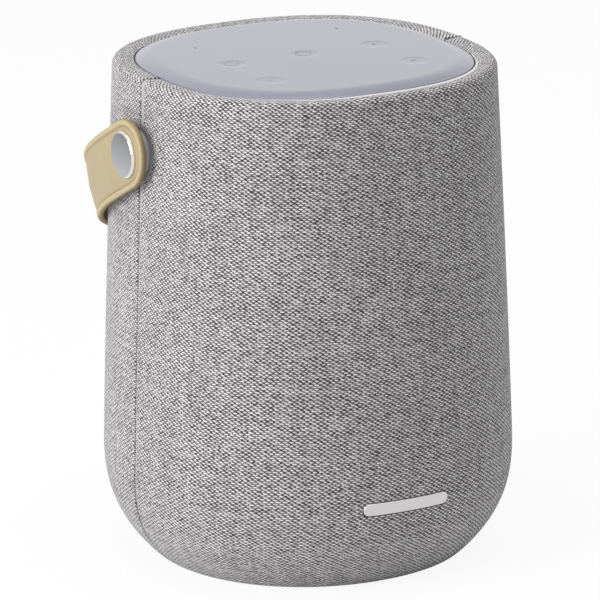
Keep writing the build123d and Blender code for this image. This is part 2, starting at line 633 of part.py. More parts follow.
def front_baffle():
    """Front board that carries the woofer and both tweeters."""
    board = box_between((-BAFFLE_HALF_X, -BAFFLE_FRONT, ENCLOSURE_BOTTOM),
                        (BAFFLE_HALF_X, -GASKET_FRONT, ENCLOSURE_TOP))
    board = fillet(board.edges().filter_by(Axis.Y), SCREW_BOSS_RADIUS)
    cut = 2 * BAFFLE_THICKNESS
    woofer_hole = WOOFER_RADIUS - WOOFER_FLANGE + LOOSE_FIT
    board -= facing_front(ring(0, woofer_hole, -cut, cut), 0, -BAFFLE_FRONT, WOOFER_Z)
    for x, z in driver_screw_ring(WOOFER_RADIUS - WOOFER_FLANGE / 2):
        board -= facing_back(screw_hole(cut), x, -BAFFLE_FRONT, WOOFER_Z + z)
    for side in (-1, 1):
        hole = ring(0, TWEETER_MOTOR_RADIUS + LOOSE_FIT, -cut, cut)
        board -= facing_front(hole, side * TWEETER_OFFSET, -BAFFLE_FRONT, TWEETER_Z)
    for x, z in baffle_screw_places():
        board -= facing_back(screw_hole(cut), x, -BAFFLE_FRONT, z)
    return board


def baffle_gasket():
    """Foam frame between the enclosure and the baffle."""
    width = 2 * SCREW_BOSS_RADIUS
    sheet = box_between((-ENCLOSURE_HALF_X, -GASKET_FRONT, ENCLOSURE_BOTTOM),
                        (ENCLOSURE_HALF_X, -ENCLOSURE_FRONT, ENCLOSURE_TOP))
    sheet -= box_between((-ENCLOSURE_HALF_X + width, -GASKET_FRONT - 1, ENCLOSURE_BOTTOM + ENCLOSURE_WALL),
                         (ENCLOSURE_HALF_X - width, -ENCLOSURE_FRONT + 1, ENCLOSURE_TOP - ENCLOSURE_WALL))
    for x, z in baffle_screw_places():
        sheet -= facing_back(screw_hole(2 * GASKET_THICKNESS), x, -GASKET_FRONT - GASKET_THICKNESS, z)
    return sheet


def baffle_screws():
    """Screws through the baffle into the enclosure."""
    return [facing_back(screw(SCREW_LENGTH), x, -BAFFLE_FRONT, z) for x, z in baffle_screw_places()]


# ---------------------------------------------------------------- woofer, built along +Z and turned to the front
def at_woofer(piece):
    """Place a woofer piece on the baffle."""
    return facing_front(piece, 0, -BAFFLE_FRONT, WOOFER_Z)


def woofer_basket():
    """Pressed frame: flange, surround seat, windowed cone wall and back ring."""
    seat = WOOFER_RADIUS - WOOFER_FLANGE
    back = -BASKET_DEPTH
    frame = turned([(seat - SEAT_WIDTH, SEAT_TOP), (seat, SEAT_TOP), (seat, FLANGE_THICKNESS),
                    (WOOFER_RADIUS, FLANGE_THICKNESS), (WOOFER_RADIUS, 0), (seat, 0),
                    (MOTOR_RADIUS, back), (MOTOR_RADIUS - BASKET_WALL, back),
                    (seat - BASKET_WALL, SEAT_TOP - SEAT_THICKNESS),
                    (seat - SEAT_WIDTH, SEAT_TOP - SEAT_THICKNESS)])
    frame += ring(COIL_RADIUS + COIL_WALL / 2 + COIL_GAP, MOTOR_RADIUS, back - BASKET_WALL, back)
    for index in range(BASKET_WINDOWS):
        window = box_between((0, -MOTOR_RADIUS / 3, back / 2 - SEAT_WIDTH),
                             (WOOFER_RADIUS, MOTOR_RADIUS / 3, -2 * SEAT_WIDTH))
        frame -= Rot(0, 0, 360 * index / BASKET_WINDOWS) * window
    for x, y in driver_screw_ring(WOOFER_RADIUS - WOOFER_FLANGE / 2):
        frame -= Pos(x, y, 0) * Cylinder(SCREW_RADIUS + SCREW_FIT, 4 * FLANGE_THICKNESS)
    return at_woofer(frame)


def motor_back():
    """Height of the basket's rear face, where the motor is fixed."""
    return -BASKET_DEPTH - BASKET_WALL


def woofer_top_plate():
    """Steel ring round the voice coil."""
    low = motor_back() - TOP_PLATE_THICKNESS
    return at_woofer(ring(COIL_RADIUS + COIL_WALL / 2 + COIL_GAP, MOTOR_RADIUS, low, motor_back()))


def woofer_magnet():
    """Ferrite ring magnet."""
    high = motor_back() - TOP_PLATE_THICKNESS
    return at_woofer(ring(MAGNET_RADIUS / 2, MAGNET_RADIUS, high - MAGNET_HEIGHT, high))


def woofer_yoke():
    """Back plate with the pole piece."""
    high = motor_back() - TOP_PLATE_THICKNESS - MAGNET_HEIGHT
    pole = COIL_RADIUS - COIL_WALL / 2 - COIL_GAP
    yoke = ring(0, MOTOR_RADIUS, high - YOKE_THICKNESS, high) + ring(0, pole, high, motor_back())
    return at_woofer(yoke - Cylinder(pole / 3, 4 * BASKET_DEPTH))


def woofer_voice_coil():
    """Coil former with its winding."""
    outer = COIL_RADIUS + COIL_WALL / 2
    low = motor_back() - TOP_PLATE_THICKNESS - COIL_GAP * 5
    high = SEAT_TOP - CONE_DEPTH + COIL_WALL
    former = ring(outer - COIL_WALL, outer, low, high)
    return at_woofer(former + ring(outer - COIL_WALL / 2, outer + COIL_GAP / 2, low, motor_back() + COIL_GAP))


def cone_height(radius):
    """Height of the cone's front surface at a radius."""
    neck = COIL_RADIUS + COIL_WALL / 2
    return SEAT_TOP - CONE_DEPTH * (CONE_RADIUS - radius) / (CONE_RADIUS - neck)


def woofer_cone():
    """Straight paper cone on the coil former."""
    neck = COIL_RADIUS + COIL_WALL / 2 + PRESS_FIT
    return at_woofer(turned([(neck, cone_height(neck)), (CONE_RADIUS, SEAT_TOP),
                             (CONE_RADIUS, SEAT_TOP - CONE_WALL),
                             (neck, cone_height(neck) - CONE_WALL)]))


def woofer_dust_cap():
    """Domed cap over the coil."""
    base = cone_height(DUST_CAP_RADIUS) + SKIN_FIT
    return at_woofer(dome(DUST_CAP_RADIUS, DUST_CAP_HEIGHT, CONE_WALL, base))


def woofer_surround():
    """Rubber half roll from the cone's edge to its seat."""
    seat = WOOFER_RADIUS - WOOFER_FLANGE
    lip = SEAT_WIDTH - 2 * LOOSE_FIT
    roll = roll_ring(CONE_RADIUS + LOOSE_FIT, seat - SEAT_WIDTH + LOOSE_FIT, lip)
    return at_woofer(Pos(0, 0, SEAT_TOP) * roll)


def woofer_spider():
    """Corrugated disc that centres the coil."""
    height = -BASKET_DEPTH * 2 / 3
    seat = WOOFER_RADIUS - WOOFER_FLANGE
    outer = MOTOR_RADIUS + (seat - MOTOR_RADIUS) / 3 - 2 * BASKET_WALL
    inner = COIL_RADIUS + COIL_WALL / 2 + PRESS_FIT
    waves = 6
    top, low = [], []
    for index in range(2 * waves + 1):
        radius = inner + (outer - inner) * index / (2 * waves)
        lift = ROLL_WALL if index % 2 else 0
        top.append((radius, height + lift + ROLL_WALL))
        low.append((radius, height + lift))
    return at_woofer(turned(top + low[::-1]))


def woofer_screws():
    """Screws through the flange into the baffle."""
    length = FLANGE_THICKNESS + BAFFLE_THICKNESS
    front = -BAFFLE_FRONT - FLANGE_THICKNESS
    places = driver_screw_ring(WOOFER_RADIUS - WOOFER_FLANGE / 2)
    return [facing_back(screw(length), x, front, WOOFER_Z + z) for x, z in places]


# ---------------------------------------------------------------- tweeters
def at_tweeter(piece, side):
    """Place a tweeter piece on the baffle, -1 for left and 1 for right."""
    return facing_front(piece, side * TWEETER_OFFSET, -BAFFLE_FRONT, TWEETER_Z)


def tweeter_frame(side):
    """Face ring round the dome."""
    plate = ring(DOME_RADIUS + DOME_WALL, TWEETER_RADIUS, 0, TWEETER_PLATE)
    return at_tweeter(chamfer(plate.edges().group_by(Axis.Z)[-1], DOME_WALL), side)


def tweeter_motor(side):
    """Pot magnet with a slot for the dome's coil."""
    slot = DOME_HEIGHT - DOME_WALL
    pole = DOME_RADIUS - 4 * DOME_WALL
    back = -TWEETER_MOTOR_DEPTH
    pot = turned([(0, back), (TWEETER_MOTOR_RADIUS, back), (TWEETER_MOTOR_RADIUS, 0),
                  (DOME_RADIUS + DOME_WALL, 0), (DOME_RADIUS + DOME_WALL, -slot), (pole, -slot),
                  (pole, -2 * DOME_TRAVEL), (0, -2 * DOME_TRAVEL)])
    return at_tweeter(pot, side)


def tweeter_dome(side):
    """Silk dome with its coil."""
    base = DOME_WALL
    coil_low = -DOME_HEIGHT + 2 * DOME_WALL + 2 * DOME_TRAVEL
    shape = dome(DOME_RADIUS, DOME_HEIGHT, DOME_WALL, base)
    shape += ring(DOME_RADIUS - 2 * DOME_WALL, DOME_RADIUS - DOME_WALL / 2, coil_low, base + DOME_WALL / 4)
    return at_tweeter(shape, side)


# ---------------------------------------------------------------- passive radiator
def at_radiator(piece):
    """Place a radiator piece on the enclosure's rear wall."""
    return facing_back(piece, 0, ENCLOSURE_BACK, WOOFER_Z)


def radiator_frame():
    """Ring on the enclosure's rear wall."""
    return at_radiator(ring(RADIATOR_RADIUS - RADIATOR_RING, RADIATOR_RADIUS, 0, FLANGE_THICKNESS))


def radiator_surround():
    """Rubber half roll of the radiator."""
    outer = RADIATOR_RADIUS - RADIATOR_RING + LOOSE_FIT
    roll = roll_ring(RADIATOR_PLATE_RADIUS + LOOSE_FIT, outer, SEAT_WIDTH - 2 * LOOSE_FIT)
    return at_radiator(Pos(0, 0, FLANGE_THICKNESS) * roll)


def radiator_plate():
    """Stiff moving plate."""
    low = FLANGE_THICKNESS - RADIATOR_PLATE_THICKNESS
    return at_radiator(ring(0, RADIATOR_PLATE_RADIUS, low, FLANGE_THICKNESS))


def radiator_weight():
    """Tuning weight on the plate's inner side."""
    high = FLANGE_THICKNESS - RADIATOR_PLATE_THICKNESS
    return at_radiator(ring(0, RADIATOR_WEIGHT_RADIUS, high - RADIATOR_WEIGHT_THICKNESS, high))


# ---------------------------------------------------------------- top frame and electronics
def pivot_stack():
    """Distances from the centre of each face along the strap pivot."""
    strap_inner = STRAP_HALF - STRAP_THICKNESS
    pad_inner = FRAME_INSIDE - PIVOT_PAD_PROUD
    clip_outer = pad_inner - PROUD_GAP
    return {
        "strap_inner": strap_inner,
        "washer_inner": strap_inner - WASHER_THICKNESS,
        "boss_outer": strap_inner - WASHER_THICKNESS - PROUD_GAP,
        "boss_inner": body_half(PIVOT_Z - BOSS_RADIUS) - SHELL_INSET + SKIN_FIT,
        "pad_outer": PIVOT_BODY - INNER_INSET - LOOSE_FIT,
        "pad_inner": pad_inner,
        "clip_outer": clip_outer,
        "clip_inner": clip_outer - CLIP_THICKNESS,
        "pin_inner": clip_outer - CLIP_THICKNESS - PIN_TAIL,
    }


def side_ring(side, inner, outer, near, far):
    """Ring about the strap pivot between two distances from the centre."""
    return facing_side(ring(inner, outer, near, far), side, 0, 0, PIVOT_Z)


def board_corner_places():
    """Standoff places under the main board."""
    half_x = BOARD_HALF_X - STANDOFF_INSET
    half_y = BOARD_HALF_Y - STANDOFF_INSET
    return [(x, y) for x in (-half_x, half_x) for y in (-half_y, half_y)]


def frame_block(half, bottom, top):
    """Upright block with the top frame's plan."""
    return plan_block(half, half, squareness(PIVOT_Z), bottom, top)


def top_frame():
    """Tray on the enclosure: floor, wall, ledge for the touch board and the strap's pivot pads."""
    stack = pivot_stack()
    frame = frame_block(FRAME_HALF, ENCLOSURE_TOP, PANEL_BOTTOM)
    frame -= frame_block(FRAME_INSIDE, ENCLOSURE_TOP + FRAME_FLOOR, PANEL_BOTTOM + 1)
    ledge = frame_block(FRAME_HALF - FRAME_WALL / 2, BOARD_BOTTOM - LEDGE_THICKNESS, BOARD_BOTTOM)
    ledge -= frame_block(FRAME_INSIDE - LEDGE_WIDTH, ENCLOSURE_TOP, PANEL_BOTTOM)
    frame += ledge
    for side in (-1, 1):
        frame += side_ring(side, 0, PIVOT_PAD_RADIUS, stack["pad_inner"], stack["pad_outer"])
    for side in (-1, 1):
        hole = PIN_RADIUS + RUNNING_FIT + BUSH_WALL + PRESS_FIT
        frame -= side_ring(side, 0, hole, stack["pad_inner"] - 1, stack["pad_outer"] + 1)
    floor_top = ENCLOSURE_TOP + FRAME_FLOOR
    for x, y in board_corner_places():
        frame += Pos(x, y, 0) * ring(0, STANDOFF_RADIUS, floor_top - 1, floor_top + STANDOFF_HEIGHT)
    for x, y in SCREW_PLACES:
        frame -= Pos(x, y, ENCLOSURE_TOP) * screw_hole(2 * FRAME_FLOOR)
    return frame


def touch_board():
    """Touch sensor board right under the panel."""
    half = FRAME_INSIDE - LOOSE_FIT
    board = frame_block(half, BOARD_BOTTOM, PANEL_BOTTOM)
    for x, y in mic_places():
        board -= Pos(x, y, BOARD_BOTTOM) * Cylinder(MIC_HOLE_RADIUS, 4 * BOARD_THICKNESS)
    return board


def microphones():
    """Microphone cans under the touch board's holes."""
    wide, deep, tall = MIC_SIZE
    return [box_between((x - wide / 2, y - deep / 2, BOARD_BOTTOM - tall),
                        (x + wide / 2, y + deep / 2, BOARD_BOTTOM)) for x, y in mic_places()]


def main_board():
    """Amplifier and control board on the standoffs."""
    low = ENCLOSURE_TOP + FRAME_FLOOR + STANDOFF_HEIGHT
    board = box_between((-BOARD_HALF_X, -BOARD_HALF_Y, low),
                        (BOARD_HALF_X, BOARD_HALF_Y, low + BOARD_THICKNESS))
    return fillet(board.edges().filter_by(Axis.Z), STANDOFF_RADIUS)


def board_top():
    """Height of the main board's upper face."""
    return ENCLOSURE_TOP + FRAME_FLOOR + STANDOFF_HEIGHT + BOARD_THICKNESS


def amplifier_heatsink():
    """Finned block on the amplifier."""
    wide, deep, tall = HEATSINK_SIZE
    x, low = -2 * BOARD_HALF_X / 5, board_top()
    sink = box_between((x - wide / 2, -deep / 2, low), (x + wide / 2, deep / 2, low + HEATSINK_FLOOR))
    step = (wide - HEATSINK_FIN) / (HEATSINK_FINS - 1)
    for index in range(HEATSINK_FINS):
        left = x - wide / 2 + index * step
        sink += box_between((left, -deep / 2, low), (left + HEATSINK_FIN, deep / 2, low + tall))
    return sink


def wireless_module():
    """Shielded radio module."""
    wide, deep, tall = RADIO_SIZE
    x, y, low = BOARD_HALF_X / 2, BOARD_HALF_Y / 2, board_top()
    can = box_between((x - wide / 2, y - deep / 2, low), (x + wide / 2, y + deep / 2, low + tall))
    return fillet(can.edges().group_by(Axis.Z)[-1], 0.5)


def board_capacitors():
    """Row of supply capacitors."""
    step = 2 * CAPACITOR_RADIUS + 1
    y = -BOARD_HALF_Y / 2
    left = BOARD_HALF_X / 2 - step * (CAPACITOR_COUNT - 1) / 2
    parts = []
    for index in range(CAPACITOR_COUNT):
        can = ring(0, CAPACITOR_RADIUS, board_top(), board_top() + CAPACITOR_HEIGHT)
        parts.append(Pos(left + index * step, y, 0) * fillet(can.edges().group_by(Axis.Z)[-1], 0.8))
    return parts


# ---------------------------------------------------------------- strap and pivots
def strap_loop(half, reach, width):
    """Filled loop seen along its width: straight sides, then a half superellipse round the back."""
    sweep = reach - STRAP_STRAIGHT
    points = []
    count = PLAN_POINTS // 2
    for step in range(count + 1):
        angle = math.pi * step / count
        across = abs(math.cos(angle)) / half
        along = abs(math.sin(angle)) / sweep
        radius = (across ** STRAP_SQUARENESS + along ** STRAP_SQUARENESS) ** (-1 / STRAP_SQUARENESS)
        points.append((radius * math.cos(angle), STRAP_STRAIGHT + radius * math.sin(angle)))
    back = Spline(*points, tangents=((0, 1), (0, -1)))
    ends = Polyline(points[-1], (-half, -STRAP_END), (half, -STRAP_END), points[0])
    return extrude(make_face([back, ends]), width / 2, both=True)


def carry_strap():
    """Leather strap: a flat band with rounded ends that loops round the back of the body."""
    band = strap_loop(STRAP_HALF, STRAP_REACH, STRAP_WIDTH)
    inner_half = STRAP_HALF - STRAP_THICKNESS
    band -= strap_loop(inner_half, STRAP_REACH - STRAP_THICKNESS, 2 * STRAP_WIDTH)
    band -= box_between((-inner_half, -2 * STRAP_END, -STRAP_WIDTH), (inner_half, 0, STRAP_WIDTH))
    side_view = Plane.YZ * (Ellipse(STRAP_END, STRAP_WIDTH / 2)
                            + Pos(STRAP_REACH, 0) * Rectangle(2 * STRAP_REACH, STRAP_WIDTH))
    band &= extrude(side_view, 2 * STRAP_HALF, both=True)
    band -= Rot(0, 90, 0) * Cylinder(PIN_RADIUS + SCREW_FIT, 4 * STRAP_HALF)
    slope = math.radians(STRAP_SLOPE)
    rest = Plane(origin=(0, 0, PIVOT_Z), x_dir=(1, 0, 0), z_dir=(0, math.sin(slope), math.cos(slope)))
    return rest.location * band


def strap_knob(side):
    """Polished cap on the strap with a chamfered rim."""
    cap = ring(0, KNOB_RADIUS, STRAP_HALF, STRAP_HALF + KNOB_THICKNESS)
    cap = chamfer(cap.edges().group_by(Axis.Z)[-1], KNOB_CHAMFER)
    return facing_side(cap, side, 0, 0, PIVOT_Z)


def pivot_pin(side):
    """Pin from the knob through strap, boss and bush."""
    return side_ring(side, 0, PIN_RADIUS, pivot_stack()["pin_inner"], STRAP_HALF)


def pivot_bush(side):
    """Bush in the top frame that the pin turns in."""
    stack = pivot_stack()
    bore = PIN_RADIUS + RUNNING_FIT
    return side_ring(side, bore, bore + BUSH_WALL, stack["pad_inner"], stack["boss_inner"])


def strap_boss(side):
    """Round boss between the body and the strap's end."""
    stack = pivot_stack()
    disc = ring(PIN_RADIUS + LOOSE_FIT, BOSS_RADIUS, stack["boss_inner"], stack["boss_outer"])
    rim = disc.edges().group_by(Axis.Z)[-1].sort_by(SortBy.LENGTH)[-1]
    return facing_side(chamfer(rim, BOSS_CHAMFER), side, 0, 0, PIVOT_Z)


def friction_washers():
    """Washer behind each end of the strap."""
    stack = pivot_stack()
    bore = PIN_RADIUS + SCREW_FIT
    return [side_ring(side, bore, WASHER_RADIUS, stack["washer_inner"], stack["strap_inner"]) for side in (-1, 1)]


def retaining_clips():
    """Clip on the inner end of each pin."""
    stack = pivot_stack()
    bore = PIN_RADIUS + PRESS_FIT
    return [side_ring(side, bore, CLIP_RADIUS, stack["clip_inner"], stack["clip_outer"]) for side in (-1, 1)]


# ---------------------------------------------------------------- rear port bay
def rear_port_panel():
    """Recessed bay with a curved flange that lies inside the shell."""
    cup = bay_bar(BAY_WALL, BAY_BACK, 2 * WIDEST_HALF)
    low, high = BAY_HEIGHT - 2 * BAY_TALL, BAY_HEIGHT + 2 * BAY_TALL
    cup &= body_block(SKIN_FIT, low, high)
    bar = bay_bar(BAY_WALL + BAY_FLANGE, WIDEST_HALF / 2, 2 * WIDEST_HALF)
    outer = INNER_INSET + SKIN_FIT
    skin = body_block(outer, low, high) - body_block(outer + BAY_FLANGE_THICKNESS, low - 1, high + 1)
    cup += bar & skin
    cup -= bay_bar(0, BAY_FACE, 2 * WIDEST_HALF)
    for side in (-1, 1):
        post = ring(0, PORT_POST_RADIUS, 0, PORT_POST_LENGTH + BAY_FLOOR / 2)
        cup += facing_back(post, side * port_post_x(), PORT_BOARD_FACE, BAY_HEIGHT)
    cup -= stadium_bar(SOCKET_WIDTH + LOOSE_FIT, SOCKET_TALL + LOOSE_FIT, 0, 2 * WIDEST_HALF, BAY_HEIGHT,
                       PORT_OFFSET)
    cup -= facing_back(ring(0, BUTTON_RADIUS + 2 * RUNNING_FIT, 0, 2 * WIDEST_HALF), -PORT_OFFSET, 0, BAY_HEIGHT)
    return cup


def port_post_x():
    """Distance of each board post from the bay's centre."""
    return BAY_WIDTH / 2 - PORT_POST_RADIUS


def port_board():
    """Small upright board behind the bay."""
    half_x = BAY_WIDTH / 2 + BAY_WALL
    half_z = BAY_TALL / 2
    return box_between((-half_x, PORT_BOARD_FACE - BOARD_THICKNESS, BAY_HEIGHT - half_z),
                       (half_x, PORT_BOARD_FACE, BAY_HEIGHT + half_z))


def power_socket():
    """Metal socket shell with its contact tongue."""
    shell = stadium_bar(SOCKET_WIDTH, SOCKET_TALL, PORT_BOARD_FACE, BAY_FACE, BAY_HEIGHT, PORT_OFFSET)
    shell -= stadium_bar(SOCKET_WIDTH - 2 * SOCKET_WALL, SOCKET_TALL - 2 * SOCKET_WALL,
                         PORT_BOARD_FACE + SOCKET_WALL, 2 * WIDEST_HALF, BAY_HEIGHT, PORT_OFFSET)
    wide, tall = SOCKET_TONGUE
    return shell + box_between((PORT_OFFSET - wide / 2, PORT_BOARD_FACE, BAY_HEIGHT - tall / 2),
                               (PORT_OFFSET + wide / 2, BAY_FACE - 1, BAY_HEIGHT + tall / 2))


def mute_button():
    """Button with a retaining flange behind the bay's floor."""
    flange_outer = BAY_BACK - PROUD_GAP
    button = ring(0, BUTTON_RADIUS + BUTTON_FLANGE, flange_outer - BUTTON_FLANGE, flange_outer)
    button += ring(0, BUTTON_RADIUS, flange_outer - BUTTON_FLANGE, BAY_FACE + BUTTON_PROUD)
    button = fillet(button.edges().group_by(Axis.Z)[-1], BUTTON_PROUD / 2)
    return facing_back(button, -PORT_OFFSET, 0, BAY_HEIGHT)


def mute_switch():
    """Tact switch on the port board, just behind the button."""
    top = BAY_BACK - PROUD_GAP - BUTTON_FLANGE - BUTTON_TRAVEL - PROUD_GAP
    return facing_back(ring(0, SWITCH_RADIUS, PORT_BOARD_FACE, top), -PORT_OFFSET, 0, BAY_HEIGHT)


# ---------------------------------------------------------------- all nodes
def all_nodes():
    """Every named piece of the speaker."""
    front_fabric, rear_fabric = fabric_covers()
    front_shell, rear_shell = grille_shells()
    nodes = {
        "front_fabric_cover": front_fabric,
        "rear_fabric_cover": rear_fabric,
        "front_grille_shell": front_shell,
        "rear_grille_shell": rear_shell,
        "top_panel": top_panel(),
        "panel_trim": panel_trim(),
        "touch_board": touch_board(),
        "microphones": microphones(),
        "top_frame": top_frame(),
        "badge_plate": badge_plate(),
        "base_plate": base_plate(),
        "rubber_foot": rubber_foot(),
        "charge_contacts": charge_contacts(),
        "chassis_screws": chassis_screws(),
        "battery_holder": battery_holder(),
        "battery_cells": battery_cells(),
        "rear_enclosure": enclosure(),
        "front_baffle": front_baffle(),
        "baffle_gasket": baffle_gasket(),
        "baffle_screws": baffle_screws(),
        "woofer_basket": woofer_basket(),
        "woofer_top_plate": woofer_top_plate(),
        "woofer_magnet": woofer_magnet(),
        "woofer_yoke": woofer_yoke(),
        "woofer_voice_coil": woofer_voice_coil(),
        "woofer_cone": woofer_cone(),
        "woofer_dust_cap": woofer_dust_cap(),
        "woofer_surround": woofer_surround(),
        "woofer_spider": woofer_spider(),
        "woofer_screws": woofer_screws(),
        "radiator_frame": radiator_frame(),
        "radiator_surround": radiator_surround(),
        "radiator_plate": radiator_plate(),
        "radiator_weight": radiator_weight(),
        "main_board": main_board(),
        "amplifier_heatsink": amplifier_heatsink(),
        "wireless_module": wireless_module(),
        "board_capacitors": board_capacitors(),
        "carry_strap": carry_strap(),
        "friction_washers": friction_washers(),
        "retaining_clips": retaining_clips(),
        "rear_port_panel": rear_port_panel(),
        "port_board": port_board(),
        "power_socket": power_socket(),
        "mute_button": mute_button(),
        "mute_switch": mute_switch(),
    }
    for name, side in (("left", -1), ("right", 1)):
        nodes[f"strap_knob_{name}"] = strap_knob(side)
        nodes[f"pivot_pin_{name}"] = pivot_pin(side)
        nodes[f"pivot_bush_{name}"] = pivot_bush(side)
        nodes[f"strap_boss_{name}"] = strap_boss(side)
        nodes[f"tweeter_frame_{name}"] = tweeter_frame(side)
        nodes[f"tweeter_motor_{name}"] = tweeter_motor(side)
        nodes[f"tweeter_dome_{name}"] = tweeter_dome(side)
    return nodes


os.makedirs("parts", exist_ok=True)
for node, piece in all_nodes().items():
    solids = piece if isinstance(piece, list) else [piece]
    export_step(solids[0] if len(solids) == 1 else Compound(children=solids), f"parts/{node}.step")
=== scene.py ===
"""Looks of a portable smart speaker.

It has a woven cover, a touch panel, a leather strap, metal fittings and, inside, its drivers and boards.
Sizes are in millimetres unless a comment says otherwise, and become metres where a mesh is made.
"""

import json
import logging
import math
from dataclasses import dataclass, field
from enum import Enum
from typing import Callable, Optional, Sequence, Union

import bmesh
import bpy
import numpy as np
from mathutils import Matrix, Vector

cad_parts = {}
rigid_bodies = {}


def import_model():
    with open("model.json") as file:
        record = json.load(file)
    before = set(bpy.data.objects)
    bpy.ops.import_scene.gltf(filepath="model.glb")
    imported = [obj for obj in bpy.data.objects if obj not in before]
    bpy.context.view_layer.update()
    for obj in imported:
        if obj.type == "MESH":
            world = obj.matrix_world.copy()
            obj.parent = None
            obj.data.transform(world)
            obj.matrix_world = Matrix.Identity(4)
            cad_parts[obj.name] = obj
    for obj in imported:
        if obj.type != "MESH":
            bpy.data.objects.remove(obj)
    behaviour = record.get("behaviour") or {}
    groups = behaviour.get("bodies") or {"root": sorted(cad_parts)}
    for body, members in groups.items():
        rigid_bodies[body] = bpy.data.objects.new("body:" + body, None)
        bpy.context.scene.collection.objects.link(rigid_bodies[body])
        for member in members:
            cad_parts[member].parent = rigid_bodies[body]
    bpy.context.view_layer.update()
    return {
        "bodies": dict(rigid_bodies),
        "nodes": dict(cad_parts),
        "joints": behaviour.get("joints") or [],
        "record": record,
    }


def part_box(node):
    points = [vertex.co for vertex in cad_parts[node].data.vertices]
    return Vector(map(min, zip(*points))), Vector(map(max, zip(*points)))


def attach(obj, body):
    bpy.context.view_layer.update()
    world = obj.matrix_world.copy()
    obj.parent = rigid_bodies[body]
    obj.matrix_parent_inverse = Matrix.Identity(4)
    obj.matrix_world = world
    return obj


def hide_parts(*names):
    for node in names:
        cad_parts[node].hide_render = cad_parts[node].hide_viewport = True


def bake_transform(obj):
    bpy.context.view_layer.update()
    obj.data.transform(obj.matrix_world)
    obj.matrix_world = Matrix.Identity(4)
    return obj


LOG = logging.getLogger("speaker")
MM = 0.001
FULL_TURN = 2 * math.pi
THREADS = "threads"              # map of distances along a surface and across it
WELD = 0.001                     # distance under which the points of a closed pole become one
SLIVER_SHARE = 0.1               # an edge shorter than this share of the weld is dissolved
TINY = 0.01                      # keeps a division by a distance from running away
BOSS_GAP = 0.1                   # cloth's hole round a boss, beyond the boss
NOISE_SPAN = (0.3, 0.7)          # levels that nearly all of a noise lies between


class Hand(Enum):
    """Left or right end of the speaker, by its sign along x."""

    LEFT = -1
    RIGHT = 1


class Side(Enum):
    """Front or rear half of the cover, by its sign along y."""

    FRONT = -1
    REAR = 1


# ------------------------------------------------------------------ frame measures
def box_mm(node: str) -> tuple[np.ndarray, np.ndarray]:
    """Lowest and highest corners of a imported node.

    Args:
        node: Name of the node.
    Returns:
        Two arrays of x, y and z in millimetres.
    """
    low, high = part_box(node)
    return np.array(low) / MM, np.array(high) / MM


# ------------------------------------------------------------------ meshes
def make_object(name: str, points: np.ndarray, quads: np.ndarray, loop_uv: Optional[np.ndarray] = None,
                merge: float = 0.0) -> bpy.types.Object:
    """Put points and four-sided faces into a new smooth-shaded object at the origin.

    Args:
        name: Name of the object.
        points: Array of x, y, z rows in millimetres.
        quads: Array of four point numbers a face, counter-clockwise from outside.
        loop_uv: Pattern coordinates, one pair for each face corner, or None.
        merge: Distance in millimetres under which points become one.
    Returns:
        The new object.
    """
    mesh = bpy.data.meshes.new(name)
    mesh.vertices.add(len(points))
    mesh.vertices.foreach_set("co", (points * MM).astype(np.float32).ravel())
    mesh.loops.add(quads.size)
    mesh.loops.foreach_set("vertex_index", quads.astype(np.int32).ravel())
    mesh.polygons.add(len(quads))
    mesh.polygons.foreach_set("loop_start", np.arange(0, quads.size, 4, dtype=np.int32))
    mesh.polygons.foreach_set("use_smooth", np.ones(len(quads), dtype=bool))
    if loop_uv is not None:
        layer = mesh.uv_layers.new(name=THREADS)
        layer.data.foreach_set("uv", loop_uv.astype(np.float32).ravel())
    mesh.update(calc_edges=True)
    if merge:
        welded = bmesh.new()
        welded.from_mesh(mesh)
        bmesh.ops.remove_doubles(welded, verts=welded.verts, dist=merge * MM)
        bmesh.ops.dissolve_degenerate(welded, edges=welded.edges, dist=merge * MM * SLIVER_SHARE)
        welded.to_mesh(mesh)
        welded.free()
        mesh.polygons.foreach_set("use_smooth", np.ones(len(mesh.polygons), dtype=bool))
    mesh.validate()
    piece = bpy.data.objects.new(name, mesh)
    bpy.context.scene.collection.objects.link(piece)
    return piece


def grid_quads(rows: int, columns: int, close_rows: bool = False, close_columns: bool = False) -> np.ndarray:
    """Faces of a grid, which face along the column direction crossed with the row direction.

    Args:
        rows: Number of rows of points.
        columns: Number of points in a row.
        close_rows: Join the last row to the first.
        close_columns: Join the last column to the first.
    Returns:
        Array of four point numbers a face.
    """
    row = np.arange(rows if close_rows else rows - 1)[:, None]
    column = np.arange(columns if close_columns else columns - 1)[None, :]
    next_row, next_column = (row + 1) % rows, (column + 1) % columns
    corners = [row * columns + column, row * columns + next_column,
               next_row * columns + next_column, next_row * columns + column]
    spread = [np.broadcast_to(corner, (len(row), column.shape[1])) for corner in corners]
    return np.stack(spread, axis=-1).reshape(-1, 4)


def add_measure(piece: bpy.types.Object, name: str, values: np.ndarray) -> None:
    """Store one number at each point of a mesh, for its material to read.

    Args:
        piece: Object that gets the numbers.
        name: Name of the attribute.
        values: One number for each point, in the order the points were given.
    """
    layer = piece.data.attributes.new(name, "FLOAT", "POINT")
    layer.data.foreach_set("value", values.astype(np.float32).ravel())


